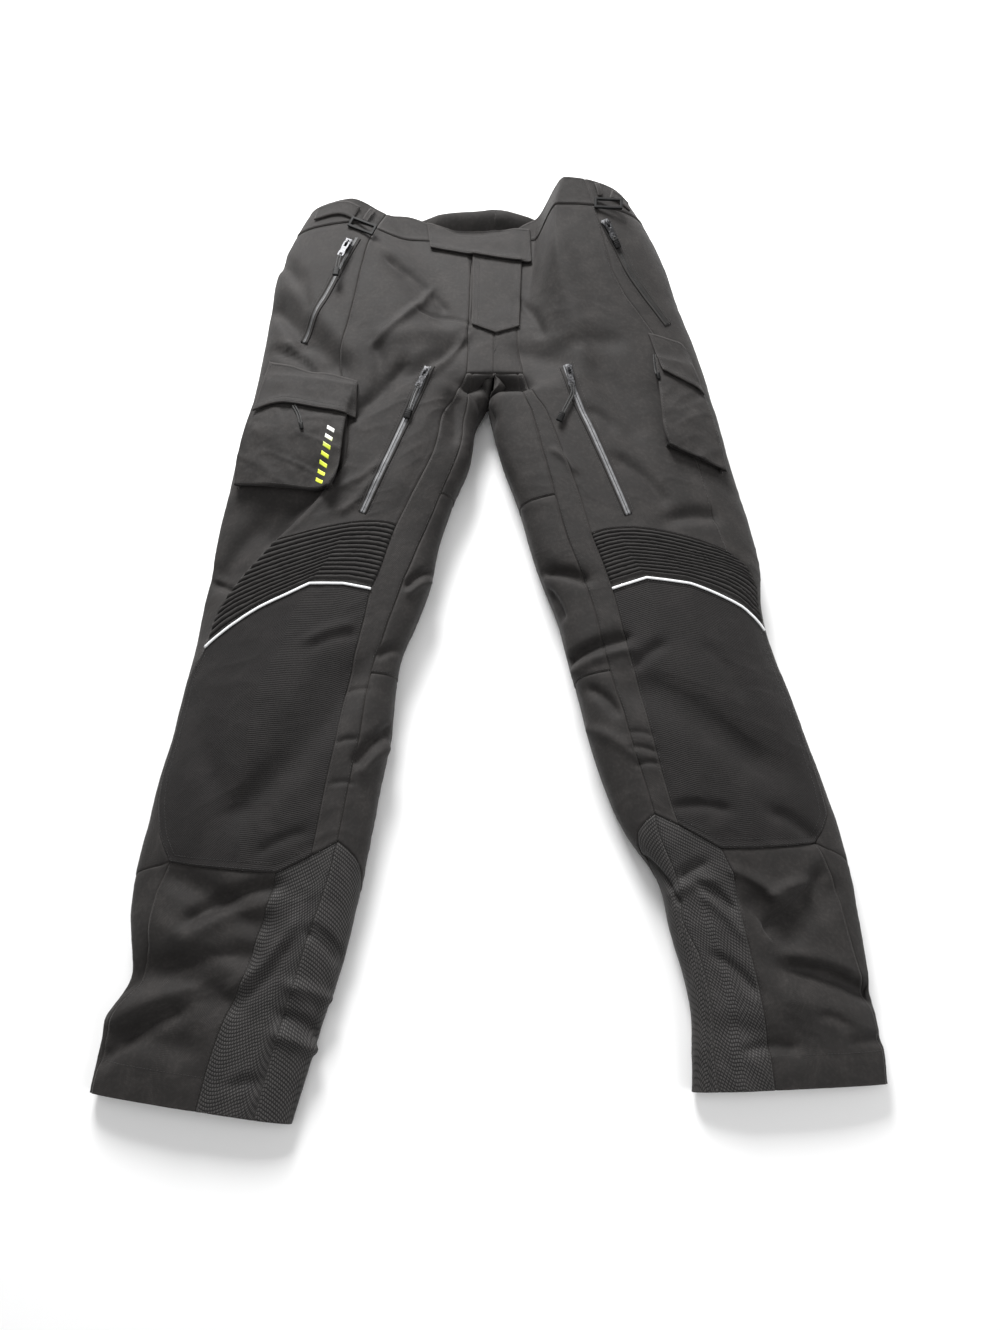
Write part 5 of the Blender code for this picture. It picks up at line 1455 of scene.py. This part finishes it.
def makeBuckle(sideName):
    row = adjusters[sideName]
    node = f"adjuster_buckle_{sideName}"
    low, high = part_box(node)
    bm = bmesh.new()
    bmesh.ops.create_grid(bm, x_segments=3, y_segments=3, size=1)
    middle = [f for f in bm.faces if f.calc_center_median().length < 0.1]
    for v in bm.verts:
        for axis, size in ((0, trim["buckleLong"]), (1, trim["buckleWide"])):
            sign = math.copysign(1, v.co[axis])
            v.co[axis] = sign * (size / 2 - (0 if abs(v.co[axis]) > 0.9 else trim["buckleBar"]))
    bmesh.ops.delete(bm, geom=middle, context="FACES")
    angle = math.radians(row["angle"])
    onPlan(bm, *row["buckle"], (low.z + high.z) / 2 / mm, (math.cos(angle), math.sin(angle)))
    item = hardware(f"{node}_frame", bm, "plastic", "trousers", [node], True)
    solidify(item, trim["buckleHigh"], 0)
    soft = item.modifiers.new("soft", "BEVEL")
    soft.width = 0.9 * mm
    soft.segments = 3


def makeAdjuster(sideName):
    row = adjusters[sideName]
    layCloth(f"cloth_adjuster_strap_{sideName}", planBetween(row["top"], row["low"]), 2.0, "band",
             f"adjuster_strap_{sideName}", 12, (0, 0, 0.6, 0.6), 6.0,
             [("first", 2.2, 1), ("last", 2.2, 1), ("bottom", 2.2, 2)], 0.3)
    p = Ground().drape(ribbon(row["loop"], (6, 6), 1.6, 6), 0.4, 6)
    p[..., 2] += 1.9
    p[..., 2] += 1.2 * np.sin(np.linspace(0, np.pi, p.shape[0]))[:, None]
    node = f"belt_loop_{sideName}"
    addCover(layTrim(f"cloth_{node}", p, "band", [node], 1.6))
    makeBuckle(sideName)


def makeBars():
    # Plain slanted bars from white to yellow, laid on the right pocket's front
    ground = Ground()
    start, end = np.array((-190.0, 209.0)), np.array((-203.5, 139.0))
    way = unit(end - start)
    aside = np.array([-way[1], way[0]])
    for k in range(trim["bars"]):
        middle = start + (end - start) * (k + 0.5) / trim["bars"]
        u = np.linspace(-4.8, 4.8, 9)[:, None, None] * aside
        v = np.linspace(-2.3, 2.3, 5)[None, :, None] * way
        slant = np.linspace(-2.2, 2.2, 9)[:, None, None] * way
        plan = middle + u + v + slant
        p = ground.drape(plan, 0.16, 0)
        layTrim(f"pocket_bar_{k + 1}", p, "bars", (), 0.12)


for half in (right, left):
    makePiping(half)
flyPlan = planBetween(flyTop, flyLow, (True, False))
layCloth("cloth_fly_flap", flyPlan, trim["flap"], "flap", "fly_flap", 26,
         (0.3, 0.8, 0, 0.8), 9.0,
         [("top", 3.0, 3), ("bottom", 3.0, 3), ("last", 3.2, 3), ("top", 9.0, 8)], 0.4, seed=17)
tabPlan = planBetween(tabTop, tabLow, (True, True))
layCloth("cloth_closure_tab", tabPlan, trim["flap"], "band", "closure_tab", 40,
         (0.6, 0.2, 0.0, 1.6), 12.0,
         [("top", 3.0, 3), ("bottom", 3.0, 3), ("first", 3.0, 3), ("last", 3.0, 3)], 0.4, seed=23)
print("fly and closure tab laid")
for name in zips:
    makeTape(name)
    makeSlider(name)
    makePull(name)
print("zips made")
for sideName in "rl":
    makeBag(sideName)
    makeFlap(sideName)
    makeCargoPuller(sideName)
    makeAdjuster(sideName)
makeBars()
print("pockets and adjusters made")


# Floor, light and camera
studio = {
    "floor": (0.93, 0.93, 0.93), "floorDrop": -0.0006, "world": 0.34,
    "cameraHeight": 1.10, "cameraBack": 0.345, "tilt": 15.0,
    "photoWide": 1000, "photoTall": 1330, "film": 36,
    # name, place, size in metres and power in watts
    "lamps": [("keySoft", (-0.42, 1.85, 1.15), 0.8, 88), ("fillSoft", (1.5, -0.5, 1.3), 1.4, 13),
              ("topSoft", (-0.2, 0.1, 2.4), 1.6, 12)],
}


def makeStudio():
    bm = bmesh.new()
    below = Matrix.Translation((0, 0, studio["floorDrop"]))
    bmesh.ops.create_grid(bm, x_segments=8, y_segments=8, size=4.0, matrix=below)
    mesh = meshFrom(bm, "floor", True)
    floor = bpy.data.objects.new("floor", mesh)
    bpy.context.scene.collection.objects.link(floor)
    kit = Kit("floorPaper")
    kit.coordinates("object")
    tone = kit.noise(3.0, 2.0)
    bright = tuple(c * 1.03 for c in studio["floor"])
    mesh.materials.append(kit.finish(kit.blend(tone, studio["floor"], bright), 0.9))
    world = bpy.data.worlds.new("studio")
    world.use_nodes = True
    world.node_tree.nodes["Background"].inputs[0].default_value = (1, 1, 1, 1)
    world.node_tree.nodes["Background"].inputs[1].default_value = studio["world"]
    bpy.context.scene.world = world
    for name, spot, size, power in studio["lamps"]:
        lamp = bpy.data.lights.new(name, "AREA")
        lamp.size = size
        lamp.energy = power
        item = bpy.data.objects.new(name, lamp)
        item.location = spot
        item.rotation_euler = (-Vector(spot)).to_track_quat("-Z", "Y").to_euler()
        bpy.context.scene.collection.objects.link(item)
    lens = bpy.data.cameras.new("photoCamera")
    lens.sensor_fit = "AUTO"
    lens.sensor_width = studio["film"]
    lens.lens = studio["film"] * studio["photoWide"] / studio["photoTall"]
    camera = bpy.data.objects.new("photoCamera", lens)
    camera.location = (-centreX * mm, -(studio["cameraBack"] + centreY * mm), studio["cameraHeight"])
    camera.rotation_euler = (math.radians(studio["tilt"]), 0, 0)
    bpy.context.scene.collection.objects.link(camera)
    bpy.context.scene.camera = camera
    bpy.context.scene.view_settings.view_transform = "Standard"
    print("studio ready")


makeStudio()
makeThreads()
